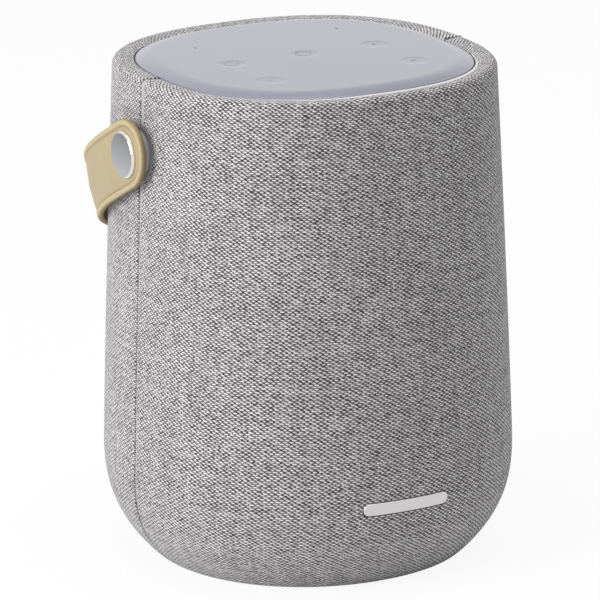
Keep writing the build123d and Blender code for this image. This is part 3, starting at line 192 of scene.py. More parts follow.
def grid_object(name: str, points: np.ndarray, close_rows: bool = False, close_columns: bool = False,
                pattern: Optional[np.ndarray] = None, keep: Optional[np.ndarray] = None,
                merge: float = 0.0) -> bpy.types.Object:
    """Make an object of a grid of points.

    Args:
        name: Name of the object.
        points: Array of rows, columns and x, y, z in millimetres.
        close_rows: Join the last row to the first.
        close_columns: Join the last column to the first.
        pattern: Pattern coordinates of each grid point, or None.
        keep: True for each face that stays, or None for all.
        merge: Distance in millimetres under which points become one.
    Returns:
        The new object.
    """
    quads = grid_quads(points.shape[0], points.shape[1], close_rows, close_columns)
    if keep is not None:
        quads = quads[keep.ravel()]
    loop_uv = None if pattern is None else pattern.reshape(-1, 2)[quads.ravel()]
    return make_object(name, points.reshape(-1, 3), quads, loop_uv, merge)


def turned_object(name: str, profile: np.ndarray, place: Callable[[np.ndarray], np.ndarray],
                  around: int = 96) -> bpy.types.Object:
    """Turn a profile of radius and height about an axis.

    Each profile point (r, h) makes the ring (r cos a, r sin a, h) for a from 0 to a full turn.

    Args:
        name: Name of the object.
        profile: Rows of radius and height in millimetres, from the outer foot to the top's centre.
        place: Function that moves points from the turning frame into the speaker's frame.
        around: Number of points in each ring.
    Returns:
        The new object.
    """
    angle = np.linspace(0, FULL_TURN, around, endpoint=False)
    radius, height = profile[:, 0][:, None], profile[:, 1][:, None]
    points = np.stack([radius * np.cos(angle), radius * np.sin(angle), height + 0 * angle], axis=-1)
    return grid_object(name, place(points), close_columns=True, merge=WELD)


def arc(centre: Sequence[float], radius: float, start: float, end: float, count: int) -> np.ndarray:
    """Points on an arc of a circle.

    Args:
        centre: Centre of the circle.
        radius: Radius.
        start: First angle in degrees.
        end: Last angle in degrees.
        count: Number of points.
    Returns:
        Array of count rows of two coordinates.
    """
    angle = np.radians(np.linspace(start, end, count))
    return np.stack([centre[0] + radius * np.cos(angle), centre[1] + radius * np.sin(angle)], axis=-1)


def thicken(piece: bpy.types.Object, thickness: float) -> None:
    """Give a sheet a wall on its inner side.

    Args:
        piece: Sheet whose faces point outwards.
        thickness: Thickness of the wall in millimetres.
    """
    wall = piece.modifiers.new("wall", "SOLIDIFY")
    wall.thickness = thickness * MM
    wall.offset = -1
    wall.use_even_offset = True


# ------------------------------------------------------------------ finishes
def to_linear(colour: str, tone: float = 1.0) -> tuple[float, float, float, float]:
    """Turn an sRGB hex colour to linear light.

    Args:
        colour: Six hex digits after a hash sign.
        tone: Factor on the light.
    Returns:
        Linear red, green and blue times the factor, and an alpha of 1.
    """
    channels = [int(colour[start:start + 2], 16) / 255 for start in (1, 3, 5)]
    red, green, blue = [c / 12.92 if c <= 0.04045 else ((c + 0.055) / 1.055) ** 2.4 for c in channels]
    return red * tone, green * tone, blue * tone, 1.0


def set_up(tree: bpy.types.NodeTree, node: bpy.types.Node, values: dict) -> None:
    """Set or link a node's properties and inputs.

    A socket is linked, and a node is linked by its first output. Any other value is set. The key "stops"
    takes the positions and linear colours of a colour ramp.

    Args:
        tree: Node tree that holds the node.
        node: The node.
        values: Values by the name of a property, or by the name or number of an input.
    """
    for key, value in values.items():
        source = value.outputs[0] if isinstance(value, bpy.types.Node) else value
        if key == "stops":
            elements = node.color_ramp.elements
            for number, (position, colour) in enumerate(value):
                element = elements[number] if number < len(elements) else elements.new(position)
                element.position, element.color = position, colour
        elif isinstance(key, str) and hasattr(node, key):
            setattr(node, key, value)
        elif isinstance(source, bpy.types.NodeSocket):
            tree.links.new(source, node.inputs[key])
        else:
            node.inputs[key].default_value = value


def add_node(tree: bpy.types.NodeTree, kind: str, settings: Union[dict, str, None] = None,
             *inputs: object) -> bpy.types.Node:
    """Add one shader node with its settings and links.

    Args:
        tree: Node tree that gets the node.
        kind: Type name of the node, without the leading ShaderNode.
        settings: Values by name or number, as set_up takes them, or just the node's operation.
        inputs: Values, sockets or nodes for the first inputs, in order.
    Returns:
        The new node.
    """
    node = tree.nodes.new("ShaderNode" + kind)
    values = {"operation": settings} if isinstance(settings, str) else settings or {}
    set_up(tree, node, {**values, **dict(enumerate(inputs))})
    return node


def new_material(name: str) -> tuple[bpy.types.Material, bpy.types.NodeTree, bpy.types.Node]:
    """Start a material.

    Args:
        name: Name of the material.
    Returns:
        The material, its node tree and its Principled node.
    """
    material = bpy.data.materials.new(name)
    material.use_nodes = True
    return material, material.node_tree, material.node_tree.nodes["Principled BSDF"]


@dataclass(frozen=True)
class WovenCloth:
    """Polyester upholstery cloth, plain weave of thick melange yarn, stretched over the body.

    Light weft floats stand over darker warp, each row shifted by one warp thread. Yarns differ in tone, so
    faint streaks run along and across the cloth, and no two floats are quite alike. Seen aslant, the floats
    hide the dark gaps between them. Hems are plain: their threads are too fine to show one by one, so a
    fine cloud of tone stands for them.
    """

    name: str = "woven_melange_cloth"
    light_yarn: str = "#E4E2E3"
    mid_yarn: str = "#8E8B8D"
    dark_yarn: str = "#343235"
    mid_level: float = 0.45      # lightness at which the middle yarn stands
    repeat: float = 2.9          # two warp threads
    row: float = 0.86            # one weft thread
    float_half: float = 1.16     # half length of a weft float
    float_rise: float = 0.45     # half height of a weft float
    twist: float = 0.09          # slant of a float, from the yarn's twist
    wander: tuple[float, float] = (0.5, 0.2)         # how far the threads wander
    wander_length: tuple[float, float] = (7.0, 4.0)  # length over which they do
    scatter: tuple[float, float] = (0.45, 0.16)      # how far single floats stand off
    length_scatter: float = 0.3  # change of a float's length, as a share of it
    streak_length: float = 40.0  # length over which one yarn keeps its tone
    yarn_step: tuple[float, float] = (7.31, 3.77)    # way through the noise from one yarn to the next
    weft_tone: tuple[float, float] = (0.52, 0.74)    # spread of the weft yarns' tone, and the lowest
    warp_tone: tuple[float, float] = (0.6, 0.7)
    float_tone: tuple[float, float] = (0.26, 0.87)
    gap_spread: float = 0.26     # spread of tone in the gaps
    closing: float = 0.24        # how much lighter the gaps look when seen aslant
    relief: float = 0.32         # height of the floats
    hem_blur: float = 0.15       # half width of the change from weave to hem
    hem_grain: float = 0.4       # size of the cloud on the hem
    hem_spread: float = 0.16     # spread of its tone
    hem_height: float = 0.63     # height of the hem, as a share of the floats'
    roughness: float = 0.9
    specular: float = 0.25
    sheen: float = 0.15
    sheen_roughness: float = 0.5

    def build(self) -> bpy.types.Material:
        """Make the material.

        It reads the map of threads, in millimetres, "hem", the distance in millimetres past the plain hem,
        which is negative on the hem, and "hem_tone", the hem's tone, lighter at the panel as a painted
        highlight.

        Returns:
            The material.
        """
        material, tree, surface = new_material(self.name)
        threads = add_node(tree, "SeparateXYZ", None, add_node(tree, "UVMap", {"uv_map": THREADS}))
        along, up = self.wandering(tree, threads.outputs[0], threads.outputs[1])
        row_count = add_node(tree, "Math", "DIVIDE", up, self.row)
        row_number = add_node(tree, "Math", "FLOOR", row_count)
        odd_row = add_node(tree, "Math", "FLOORED_MODULO", row_number, 2.0)
        repeats = add_node(tree, "Math", "DIVIDE", along, self.repeat)
        column_count = add_node(tree, "Math", "MULTIPLY_ADD", odd_row, 0.5, repeats)
        column_number = add_node(tree, "Math", "FLOOR", column_count)
        cell = add_node(tree, "CombineXYZ", None, column_number, row_number)
        chance = add_node(tree, "TexWhiteNoise", {"noise_dimensions": "2D", "Vector": cell})
        draw = add_node(tree, "SeparateColor", None, chance.outputs["Color"])
        mound = self.mound(tree, column_count, row_count, draw)
        tone = self.yarn_tone(tree, along, up, row_number, column_count)
        each = add_node(tree, "Math", "MULTIPLY_ADD", chance.outputs["Value"], *self.float_tone)
        float_light = add_node(tree, "Math", "MULTIPLY", tone, each)
        facing = add_node(tree, "LayerWeight", {"Blend": 0.5}).outputs["Facing"]
        slant = add_node(tree, "Math", "POWER", facing, 2.0)
        closed = add_node(tree, "Math", "MULTIPLY", slant, self.closing)
        gap_light = add_node(tree, "Math", "MULTIPLY_ADD", draw.outputs[2], self.gap_spread, closed)
        woven_light = add_node(tree, "Mix", {0: mound, 2: gap_light, 3: float_light})
        hem = add_node(tree, "Attribute", {"attribute_name": "hem"}).outputs["Fac"]
        plain = add_node(tree, "MapRange", None, hem, self.hem_blur, -self.hem_blur)
        light = add_node(tree, "Mix", {0: plain, 2: woven_light, 3: self.hem_light(tree)})
        height = add_node(tree, "Mix", {0: plain, 2: mound, 3: self.hem_height})
        stops = [(0.0, to_linear(self.dark_yarn)), (self.mid_level, to_linear(self.mid_yarn)),
                 (1.0, to_linear(self.light_yarn))]
        set_up(tree, surface, {
            "Base Color": add_node(tree, "ValToRGB", {"stops": stops}, light),
            "Normal": add_node(tree, "Bump", {"Distance": self.relief * MM, "Height": height}),
            "Roughness": self.roughness, "Specular IOR Level": self.specular,
            "Sheen Weight": self.sheen, "Sheen Roughness": self.sheen_roughness,
        })
        return material

    def hem_light(self, tree: bpy.types.NodeTree) -> bpy.types.Node:
        """Lightness of the plain hem: its tone with fine noise on it.

        Args:
            tree: Node tree.
        Returns:
            Node whose first output is the lightness.
        """
        place = add_node(tree, "TexCoord").outputs["Object"]
        fine = add_node(tree, "TexNoise", {"Scale": 1 / (self.hem_grain * MM), "Detail": 2.0}, place)
        tone = add_node(tree, "Attribute", {"attribute_name": "hem_tone"}).outputs["Fac"]
        lowest = add_node(tree, "Math", "SUBTRACT", tone, self.hem_spread / 2)
        return add_node(tree, "Math", "MULTIPLY_ADD", fine, self.hem_spread, lowest)

    def wandering(self, tree: bpy.types.NodeTree, *distances: bpy.types.NodeSocket) -> list[bpy.types.Node]:
        """Let the threads wander a little from their even spacing.

        Args:
            tree: Node tree.
            distances: Distance round the body and distance up the cloth.
        Returns:
            Both distances with slow noise added.
        """
        slowed = [add_node(tree, "Math", "DIVIDE", distance, length)
                  for distance, length in zip(distances, self.wander_length)]
        place = add_node(tree, "CombineXYZ", None, *slowed)
        noise = add_node(tree, "TexNoise", {"Vector": place, "Scale": 1.0, "Detail": 1.0})
        drift = add_node(tree, "SeparateColor", None, noise.outputs["Color"])
        wandered = []
        for distance, channel, far in zip(distances, drift.outputs, self.wander):
            offset = add_node(tree, "Math", "MULTIPLY_ADD", channel, 2 * far, -far)
            wandered.append(add_node(tree, "Math", "ADD", distance, offset))
        return wandered

    def mound(self, tree: bpy.types.NodeTree, column_count: bpy.types.Node, row_count: bpy.types.Node,
              draw: bpy.types.Node) -> bpy.types.Node:
        """Height of the weft floats: the root of one less the squared distance from a float's middle.

        Args:
            tree: Node tree.
            column_count: Position counted in warp repeats.
            row_count: Position counted in weft yarns.
            draw: Three chances of this float, which set its place and length.
        Returns:
            Node whose first output is the height, 0 in the gaps and 1 on top.
        """
        offsets = []
        for count, size, channel, far in zip((column_count, row_count), (self.repeat, self.row),
                                             draw.outputs, self.scatter):
            part = add_node(tree, "Math", "FRACT", count)
            even = add_node(tree, "Math", "MULTIPLY_ADD", part, size, -size / 2)
            aside = add_node(tree, "Math", "MULTIPLY_ADD", channel, far, -far / 2)
            offsets.append(add_node(tree, "Math", "ADD", even, aside))
        change = self.length_scatter * self.float_half
        length = add_node(tree, "Math", "MULTIPLY_ADD", draw.outputs[2], change, self.float_half - change / 2)
        slanted = add_node(tree, "Math", "MULTIPLY_ADD", offsets[0], self.twist, offsets[1])
        left_over: object = 1.0
        for offset, half in ((offsets[0], length), (slanted, self.float_rise)):
            share = add_node(tree, "Math", "DIVIDE", offset, half)
            square = add_node(tree, "Math", "MULTIPLY", share, share)
            left_over = add_node(tree, "Math", "SUBTRACT", left_over, square)
        positive = add_node(tree, "Math", "MAXIMUM", left_over, 0.0)
        return add_node(tree, "Math", "SQRT", positive)

    def yarn_tone(self, tree: bpy.types.NodeTree, along: bpy.types.Node, up: bpy.types.Node,
                  row_number: bpy.types.Node, column_count: bpy.types.Node) -> bpy.types.Node:
        """Tone of each yarn: noise that is long along the yarn and changes from one yarn to the next.

        Args:
            tree: Node tree.
            along: Distance round the body.
            up: Distance up the cloth.
            row_number: Number of the weft yarn.
            column_count: Position counted in warp repeats.
        Returns:
            Node whose first output is a factor about 1.
        """
        warp_count = add_node(tree, "Math", "MULTIPLY", column_count, 2.0)
        warp_number = add_node(tree, "Math", "FLOOR", warp_count)
        tones = []
        for axis, (distance, number, tone) in enumerate(((along, row_number, self.weft_tone),
                                                         (up, warp_number, self.warp_tone))):
            streak = add_node(tree, "Math", "DIVIDE", distance, self.streak_length)
            step = add_node(tree, "Math", "MULTIPLY", number, self.yarn_step[axis])
            place = add_node(tree, "CombineXYZ", {axis: streak, 1 - axis: step})
            noise = add_node(tree, "TexNoise", {"Vector": place, "Scale": 1.0, "Detail": 1.0})
            tones.append(add_node(tree, "Math", "MULTIPLY_ADD", noise, *tone))
        return add_node(tree, "Math", "MULTIPLY", *tones)


@dataclass(frozen=True)
class Moulded:
    """Injection-moulded plastic or rubber: an even colour with a fine eroded grain from the mould.

    Paint, print, paper, foamed gaskets and coated cloth differ from it only in grain and tone, so they use it
    too, as does the near-black strip of painted shadow under the badge. A clear coat gives lacquer, which
    mirrors bright things softly.
    """

    name: str
    colour: str
    roughness: float = 0.5
    grain: float = 0.3           # size of the mould grain
    relief: float = 0.01         # depth of the grain, or 0 where it is too fine to show
    mottle: float = 0.04         # change of tone and roughness over the piece
    coat: float = 0.0            # share of clear coat
    cloud: float = 25.0          # size of the clouds of tone

    def build(self) -> bpy.types.Material:
        """Make the material.

        Returns:
            The material, which reads object coordinates.
        """
        material, tree, surface = new_material(self.name)
        place = add_node(tree, "TexCoord").outputs["Object"]
        cloud = add_node(tree, "TexNoise", {"Vector": place, "Scale": 1 / (self.cloud * MM), "Detail": 3.0})
        tones = [to_linear(self.colour, 1 - self.mottle), to_linear(self.colour, 1 + self.mottle)]
        set_up(tree, surface, {
            "Base Color": add_node(tree, "ValToRGB", {"stops": list(zip(NOISE_SPAN, tones))}, cloud),
            "Roughness": add_node(tree, "MapRange", None, cloud, 0.0, 1.0, self.roughness - self.mottle,
                                  self.roughness + self.mottle),
            "Coat Weight": self.coat, "Coat Roughness": self.roughness,
        })
        if self.relief:
            grain = add_node(tree, "TexNoise", {"Scale": 1 / (self.grain * MM), "Detail": 2.0}, place)
            bump = add_node(tree, "Bump", {"Distance": self.relief * MM, "Height": grain})
            set_up(tree, surface, {"Normal": bump})
        return material


@dataclass(frozen=True)
class WorkedMetal:
    """Metal with the fine marks of how it was worked: turned, brushed, rolled or plated."""

    name: str
    colour: str
    roughness: float = 0.3
    grain: tuple[float, float, float] = (0.4, 0.4, 0.4)   # length of the marks along x, y and z
    relief: float = 0.004        # depth of the marks
    upper: Optional[tuple[float, float, str]] = None      # painted reflection: low and high level, and the darker colour reached there
    dark_tone: float = 0.93      # tone of the darkest marks
    spread: float = 0.05         # change of roughness in the marks

    def build(self) -> bpy.types.Material:
        """Make the material.

        Returns:
            The material, which reads object coordinates.
        """
        material, tree, surface = new_material(self.name)
        place = add_node(tree, "TexCoord").outputs["Object"]
        scaled = add_node(tree, "Mapping", {"Scale": [1 / (size * MM) for size in self.grain]}, place)
        marks = add_node(tree, "TexNoise", {"Vector": scaled, "Scale": 1.0, "Detail": 2.0})
        tones = [to_linear(self.colour, self.dark_tone), to_linear(self.colour)]
        colour = add_node(tree, "ValToRGB", {"stops": list(zip(NOISE_SPAN, tones))}, marks).outputs[0]
        # Painted reflection: the colour turns to a darker one between two levels, for dark surroundings
        # mirrored up there.
        if self.upper:
            low, high, shade = self.upper
            level = add_node(tree, "SeparateXYZ", None, place).outputs[2]
            share = add_node(tree, "MapRange", None, level, low * MM, high * MM)
            mixed = add_node(tree, "Mix", {"data_type": "RGBA", 0: share, 6: colour, 7: to_linear(shade)})
            colour = mixed.outputs[2]
        set_up(tree, surface, {
            "Base Color": colour, "Metallic": 1.0,
            "Roughness": add_node(tree, "MapRange", None, marks, 0.0, 1.0, self.roughness - self.spread,
                                  self.roughness + self.spread),
            "Normal": add_node(tree, "Bump", {"Distance": self.relief * MM, "Height": marks}),
        })
        return material


@dataclass(frozen=True)
class Leather:
    """Vegetable-tanned cowhide: pebbled grain, soft clouds of tone, a waxy top and darker dyed edges.

    Its map of threads holds the height over the outer face, which is below 0 down the edge. The raised border
    is painted lighter, a painted highlight, and the groove at its foot darker, painted shade.
    """

    name: str = "tan_grain_leather"
    colour: str = "#AFA17F"
    shade: str = "#A99A7B"
    shade_span: tuple[float, float] = (0.3, 0.65)    # levels of the cloud at the shade and at the colour
    cloud: float = 9.0           # size of the clouds of tone
    border: str = "#B9AB85"      # raised border, painted lighter as a highlight
    border_highlight_span: tuple[float, float] = (-0.1, 0.15)  # heights over which it comes in
    crease_shade: str = "#94845F"      # painted shade in the groove at the foot of the border
    crease_shade_span: tuple[float, float] = (-0.22, -0.4)
    edge: str = "#84724C"        # dyed edge
    edge_span: tuple[float, float] = (-0.5, -1.6)
    pebble: float = 0.7          # size of the grain's pebbles
    relief: float = 0.05
    strength: float = 0.6
    roughness: float = 0.55
    specular: float = 0.4

    def build(self) -> bpy.types.Material:
        """Make the material.

        Returns:
            The material, which reads object coordinates and the map of threads.
        """
        material, tree, surface = new_material(self.name)
        place = add_node(tree, "TexCoord").outputs["Object"]
        cloud = add_node(tree, "TexNoise", {"Vector": place, "Scale": 1 / (self.cloud * MM), "Detail": 4.0})
        stops = list(zip(self.shade_span, (to_linear(self.shade), to_linear(self.colour))))
        colour = add_node(tree, "ValToRGB", {"stops": stops}, cloud).outputs[0]
        threads = add_node(tree, "SeparateXYZ", None, add_node(tree, "UVMap", {"uv_map": THREADS}))
        # Painted highlight on the raised border, painted shade in the groove at its foot, then the dyed edge.
        for (start, end), tone in ((self.border_highlight_span, self.border), (self.crease_shade_span, self.crease_shade),
                                   (self.edge_span, self.edge)):
            share = add_node(tree, "MapRange", None, threads.outputs[1], start, end)
            mixed = add_node(tree, "Mix", {"data_type": "RGBA", 0: share, 6: colour, 7: to_linear(tone)})
            colour = mixed.outputs[2]
        pebbles = add_node(tree, "TexVoronoi", {"Vector": place, "Scale": 1 / (self.pebble * MM)})
        set_up(tree, surface, {
            "Base Color": colour, "Roughness": self.roughness, "Specular IOR Level": self.specular,
            "Normal": add_node(tree, "Bump", {"Strength": self.strength, "Distance": self.relief * MM,
                                              "Height": pebbles.outputs["Distance"]}),
        })
        return material


# ------------------------------------------------------------------ body form
@dataclass(frozen=True)
class BodyForm:
    """The speaker's outer surface.

    At each height the plan is a superellipse, |x/h|^n + |y/h|^n = 1. Its half width h curls in under the
    widest height as a power curve, and above it falls to the rim as a power just over 1.
    """

    height: float
    widest_half: float
    widest_height: float = 46.5
    foot_half: float = 64.9
    rim_half: float = 77.0
    curl_power: float = 2.55     # of the half width under the widest height
    taper_power: float = 1.08    # and above it
    squareness_foot: float = 2.07
    squareness_rim: float = 2.37

    def half(self, height: np.ndarray) -> np.ndarray:
        """Half width at heights.

        Args:
            height: Heights in millimetres.
        Returns:
            Half widths in millimetres.
        """
        fall = np.maximum(self.widest_height - height, 0) / self.widest_height
        curl = self.widest_half - (self.widest_half - self.foot_half) * fall ** self.curl_power
        rise = np.maximum(height - self.widest_height, 0) / (self.height - self.widest_height)
        taper = self.widest_half - (self.widest_half - self.rim_half) * rise ** self.taper_power
        return np.where(height < self.widest_height, curl, taper)

    def squareness(self, height: np.ndarray) -> np.ndarray:
        """Plan exponent at heights, from the foot's to the rim's in a straight line."""
        return self.squareness_foot + (self.squareness_rim - self.squareness_foot) * height / self.height

    @staticmethod
    def reach(angle: np.ndarray, half_x: np.ndarray, half_y: np.ndarray, power: np.ndarray) -> np.ndarray:
        """Distance from the centre to a superellipse.

        Args:
            angle: Directions in radians.
            half_x: Half widths along x.
            half_y: Half widths along y.
            power: Exponents.
        Returns:
            Distances in millimetres.
        """
        across = (np.abs(np.cos(angle)) / half_x) ** power
        along = (np.abs(np.sin(angle)) / half_y) ** power
        return (across + along) ** (-1 / power)

    def wall(self, angle: np.ndarray, height: np.ndarray, lift: np.ndarray) -> np.ndarray:
        """Points on the wall, moved out by a lift.

        Args:
            angle: Directions in radians.
            height: Heights in millimetres.
            lift: Distance outside the wall.
        Returns:
            Array of x, y, z.
        """
        half = self.half(height) + lift
        distance = self.reach(angle, half, half, self.squareness(height))
        return np.stack([distance * np.cos(angle), distance * np.sin(angle), height + 0 * distance], axis=-1)

    def depth_beside(self, offset: np.ndarray, height: np.ndarray) -> np.ndarray:
        """Distance of the wall from the middle plane beside which it lies an offset away.

        Args:
            offset: Distance along the plane's other axis.
            height: Heights in millimetres.
        Returns:
            Distance along the first axis, from |x/h|^n + |y/h|^n = 1.
        """
        half, power = self.half(height), self.squareness(height)
        return half * (1 - (np.abs(offset) / half) ** power) ** (1 / power)


# ------------------------------------------------------------------ cloth cover
@dataclass(frozen=True)
class Meridian:
    """Rows of the cover, one value a row, from the opening in the underside to the panel's edge."""

    heights: np.ndarray
    outside: np.ndarray          # distance outside the body's wall
    level: np.ndarray            # share of the way across the rim, from the wall's plan to the panel's
    fold: np.ndarray             # share of the fold's radius that the cloth has turned in beside the panel


@dataclass
class ClothCover:
    """Woven cover: two halves that meet at the side seams, turn over the rim and under the foot."""

    form: BodyForm
    panel_half_x: float
    panel_half_y: float
    pivot_height: float
    bay_centre: float
    boss_hole: float
    panel_squareness: float = 2.49
    lift: float = 0.8            # lowest edge above the floor
    under_half: float = 61.4     # opening in the underside
    foot_blend: float = 1.5
    thickness: float = 1.2
    rim_radius: float = 2.6
    rim_reach: float = 6.0       # how far the rim runs in, on average
    girth_share: float = 1.03    # girth of the squared section beside that of a circle
    rim_gap: float = 0.5         # cloth edge out from the panel
    rim_fall: float = 0.55       # rim's inner edge below its outer edge
    fall_power: float = 1.5
    fold_radius: float = 0.5
    fold_depth: float = 2.0
    seam_half: float = 0.2       # half of the gap between the halves
    rim_seam_half: float = 0.5
    seam_fold: float = 1.1       # radius by which the cloth dips into the seam
    seam_drift: float = 4.4      # seam forward of the side's middle, at its farthest
    drift_height: float = 50.0
    drift_end: float = 16.0
    drift_power: float = 0.6
    boss_roll: float = 2.6       # width of the cloth that rolls in round a boss
    boss_roll_depth: float = 0.6
    bay_half: tuple[float, float] = (24.65, 9.15)
    bay_corner: float = 6.15
    seam_shares: tuple[float, ...] = (0, 0.12, 0.3, 0.55, 0.8, 1.0)   # places of columns in the dip
    column_step: float = 1.3
    wall_step: float = 1.6
    fine_reach: float = 15.0     # finer grid this near to a pivot
    fine_share: float = 0.55
    stitch_pitch: float = 1.72
    stitch_radius: tuple[float, float] = (0.2, 0.3)     # on the wall and on the rim
    stitch_half: tuple[float, float] = (0.64, 1.04)     # half length across the seam
    stitch_sink: tuple[float, float] = (0.55, 0.35)     # ends under the cloth's face
    stitch_bow: float = 0.35     # middle over the ends
    stitch_overrun: float = 1.0  # how far the rim's stitches go on over its rounded edge
    stitch_tip: float = 0.02     # square of the share of the radius that is left at the ends
    hem_width: float = 1.5
    hem_width_top: float = 4.6   # beside the bosses
    hem_fade: float = 22.0       # height over which it narrows again
    hem_rise: float = 10.0       # height over which the hem widens above the bosses
    hem_upper: float = 0.6       # share of the full width up there
    boss_hem: float = 2.8
    rim_highlight_width: float = 4.5         # plain strip at the panel, widest in front, painted light as a highlight
    rim_highlight_taper: float = 2.2
    hem_tone: float = 0.63
    # Tone of the strip at the panel, near the light yarn's: painted highlight where the cloth turns in.
    rim_highlight_tone: float = 0.93
    cloth: WovenCloth = field(default_factory=WovenCloth)

    def meridian(self) -> Meridian:
        """Work out the rows.

        The foot's corner is a quadratic curve with its control point at the wall's foot, and the rim's outer
        edge a quarter of a circle. The rim falls towards the panel as a power of the way, and another
        quarter of a circle folds it down there.

        Returns:
            The rows.
        """
        foot_half = float(self.form.half(np.array(self.lift)))
        wall_start, low_end = self.lift + self.foot_blend, self.pivot_height - self.fine_reach
        top = self.form.height - self.rim_radius
        under = np.linspace(self.under_half, foot_half - self.foot_blend, 4)
        blend = np.linspace(0, 1, 6)[1:]
        coarse_rows = int((low_end - wall_start) / self.wall_step)
        fine_rows = int((top - low_end) / (self.wall_step * self.fine_share))
        wall = np.concatenate([np.linspace(wall_start, low_end, coarse_rows)[1:],
                               np.linspace(low_end, top, fine_rows)[1:]])
        first, control, last = (1 - blend) ** 2, 2 * blend * (1 - blend), blend ** 2
        corner_half = (first * (foot_half - self.foot_blend) + control * foot_half
                       + last * float(self.form.half(np.array(wall_start))))
        corner_height = (first + control) * self.lift + last * wall_start
        turn = np.radians(np.linspace(0, 90, 9)[1:])
        flat = np.linspace(0, 1, 7)[1:-1]
        fold = np.radians(np.linspace(0, 90, 6))
        below = np.zeros(len(under) + len(blend) + len(wall) + len(turn))
        level = np.concatenate([below, flat, np.ones(len(fold) + 1)])
        heights = np.concatenate([np.full_like(under, self.lift), corner_height, wall,
                                  top + self.rim_radius * np.sin(turn), np.full_like(flat, self.form.height),
                                  self.form.height - self.fold_radius * (1 - np.cos(fold)),
                                  [self.form.height - self.fold_depth]])
        outside = np.concatenate([under - foot_half, corner_half - self.form.half(corner_height), 0 * wall,
                                  self.rim_radius * (np.cos(turn) - 1),
                                  np.full(len(flat) + len(fold) + 1, -self.rim_radius)])
        return Meridian(heights - self.rim_fall * level ** self.fall_power, outside, level,
                        np.concatenate([below, 0 * flat, np.sin(fold), [1]]))

    def row_places(self, rows: Meridian) -> np.ndarray:
        """Distance of each row from the first one, along the cloth."""
        inward = self.form.half(rows.heights) + rows.outside - self.rim_reach * rows.level
        return np.concatenate([[0], np.cumsum(np.hypot(np.diff(rows.heights), np.diff(inward)))])

    def half_girth(self) -> float:
        """Length of one half round the body, at its widest."""
        return math.pi * self.form.widest_half * self.girth_share

    def flat_size(self) -> tuple[float, float]:
        """Width and length in metres that each half is cut to: half the girth, and underside to panel."""
        return self.half_girth() * MM, float(self.row_places(self.meridian())[-1]) * MM

    def drift(self, height: np.ndarray) -> np.ndarray:
        """How far the side seams stand forward: a power from the rim down, then back as a square below.

        Args:
            height: Heights on the body.
        Returns:
            Distances in millimetres.
        """
        down = np.clip((self.form.height - height) / (self.form.height - self.drift_height), 0, 1)
        under = np.clip((self.drift_height - height) / (self.drift_height - self.drift_end), 0, 1)
        return self.seam_drift * down ** self.drift_power * (1 - under ** 2)

    def columns(self, length: float) -> np.ndarray:
        """Places of the columns along one half, close together beside the seams.

        Args:
            length: Length of the half at the widest height.
        Returns:
            Distances from the half's first edge.
        """
        edge = self.seam_fold * np.array(self.seam_shares)
        fine = np.arange(edge[-1], self.fine_reach, self.column_step * self.fine_share)[1:]
        half = np.concatenate([edge, fine])
        start, end = half[-1], length - half[-1]
        middle = np.linspace(start, end, int((end - start) / self.column_step))[1:-1]
        return np.concatenate([half, middle, length - half[::-1]])

    def hem_distance(self, from_seam: np.ndarray, points: np.ndarray,
                     side: Side) -> tuple[np.ndarray, np.ndarray]:
        """Distance past the plain hem, and the hem's tone, with a painted highlight where the cloth turns in
        at the panel.

        The hem at the seams widens at the bosses as a bell curve. The strip at the panel, a painted
        highlight, tapers from the front to the sides as a power of the sine.

        Args:
            from_seam: Distance of each column from the nearer seam.
            points: Grid points of the cover.
            side: The front or the rear half.
        Returns:
            Distances in millimetres, negative on the hem, and tones.
        """
        rise = points[..., 2] - self.pivot_height
        past = np.hypot(points[..., 1], rise) - self.boss_hole - self.boss_hem
        tone = np.full_like(rise, self.hem_tone)
        if side is Side.REAR:
            return past, tone
        bell = np.exp(-(rise / self.hem_fade) ** 2)
        above = self.hem_upper * np.clip(rise / self.hem_rise, 0, 1)
        width = self.hem_width + (self.hem_width_top - self.hem_width) * np.maximum(bell, above)
        past = np.minimum(past, from_seam - width)
        angle = np.arctan2(points[..., 1], points[..., 0])
        edge = self.form.reach(angle, self.panel_half_x, self.panel_half_y, self.panel_squareness)
        # Painted highlight: a light strip along the panel's edge, widest in front.
        strip = self.rim_highlight_width * np.maximum(-np.sin(angle), 0) ** self.rim_highlight_taper
        past_rim = np.hypot(points[..., 0], points[..., 1]) - edge - strip
        on_strip = (points[..., 2] > self.form.height - self.rim_radius) & (past_rim < past)
        return np.where(on_strip, past_rim, past), np.where(on_strip, self.rim_highlight_tone, tone)

    def cloth_points(self, rows: Meridian, angle: np.ndarray, height: np.ndarray,
                     dip: np.ndarray) -> np.ndarray:
        """Place the grid points of one half.

        The wall is the body's form at each height and angle. The rim turns in by an arc, runs to the panel's
        superellipse and folds down beside it. Round each boss the cloth rolls in by the square of the
        nearness.

        Args:
            rows: Rows of the cover.
            angle: Direction of each grid point.
            height: Height of each grid point.
            dip: How far each column dips into a seam.
        Returns:
            Array of rows, columns and x, y, z.
        """
        walls, level = (rows.level == 0)[:, None], rows.level[:, None]
        plain = self.form.wall(angle, height, np.zeros_like(height))
        beyond = np.hypot(plain[..., 1], plain[..., 2] - self.pivot_height) - self.boss_hole
        roll = np.clip(1 - beyond / self.boss_roll, 0, 1) ** 2 * self.boss_roll_depth
        half = self.form.half(height) + np.where(walls, rows.outside[:, None], -self.rim_radius)
        body = self.form.reach(angle, half, half, self.form.squareness(height))
        body = body - np.maximum(dip, np.where(walls, roll, 0))
        opening = self.rim_gap + self.fold_radius
        edge = self.form.reach(angle, self.panel_half_x + opening, self.panel_half_y + opening,
                               self.panel_squareness)
        reach = body * (1 - level) + (edge - rows.fold[:, None] * self.fold_radius) * level
        return np.stack([reach * np.cos(angle), reach * np.sin(angle), np.where(walls, height, height - dip)],
                        axis=-1)

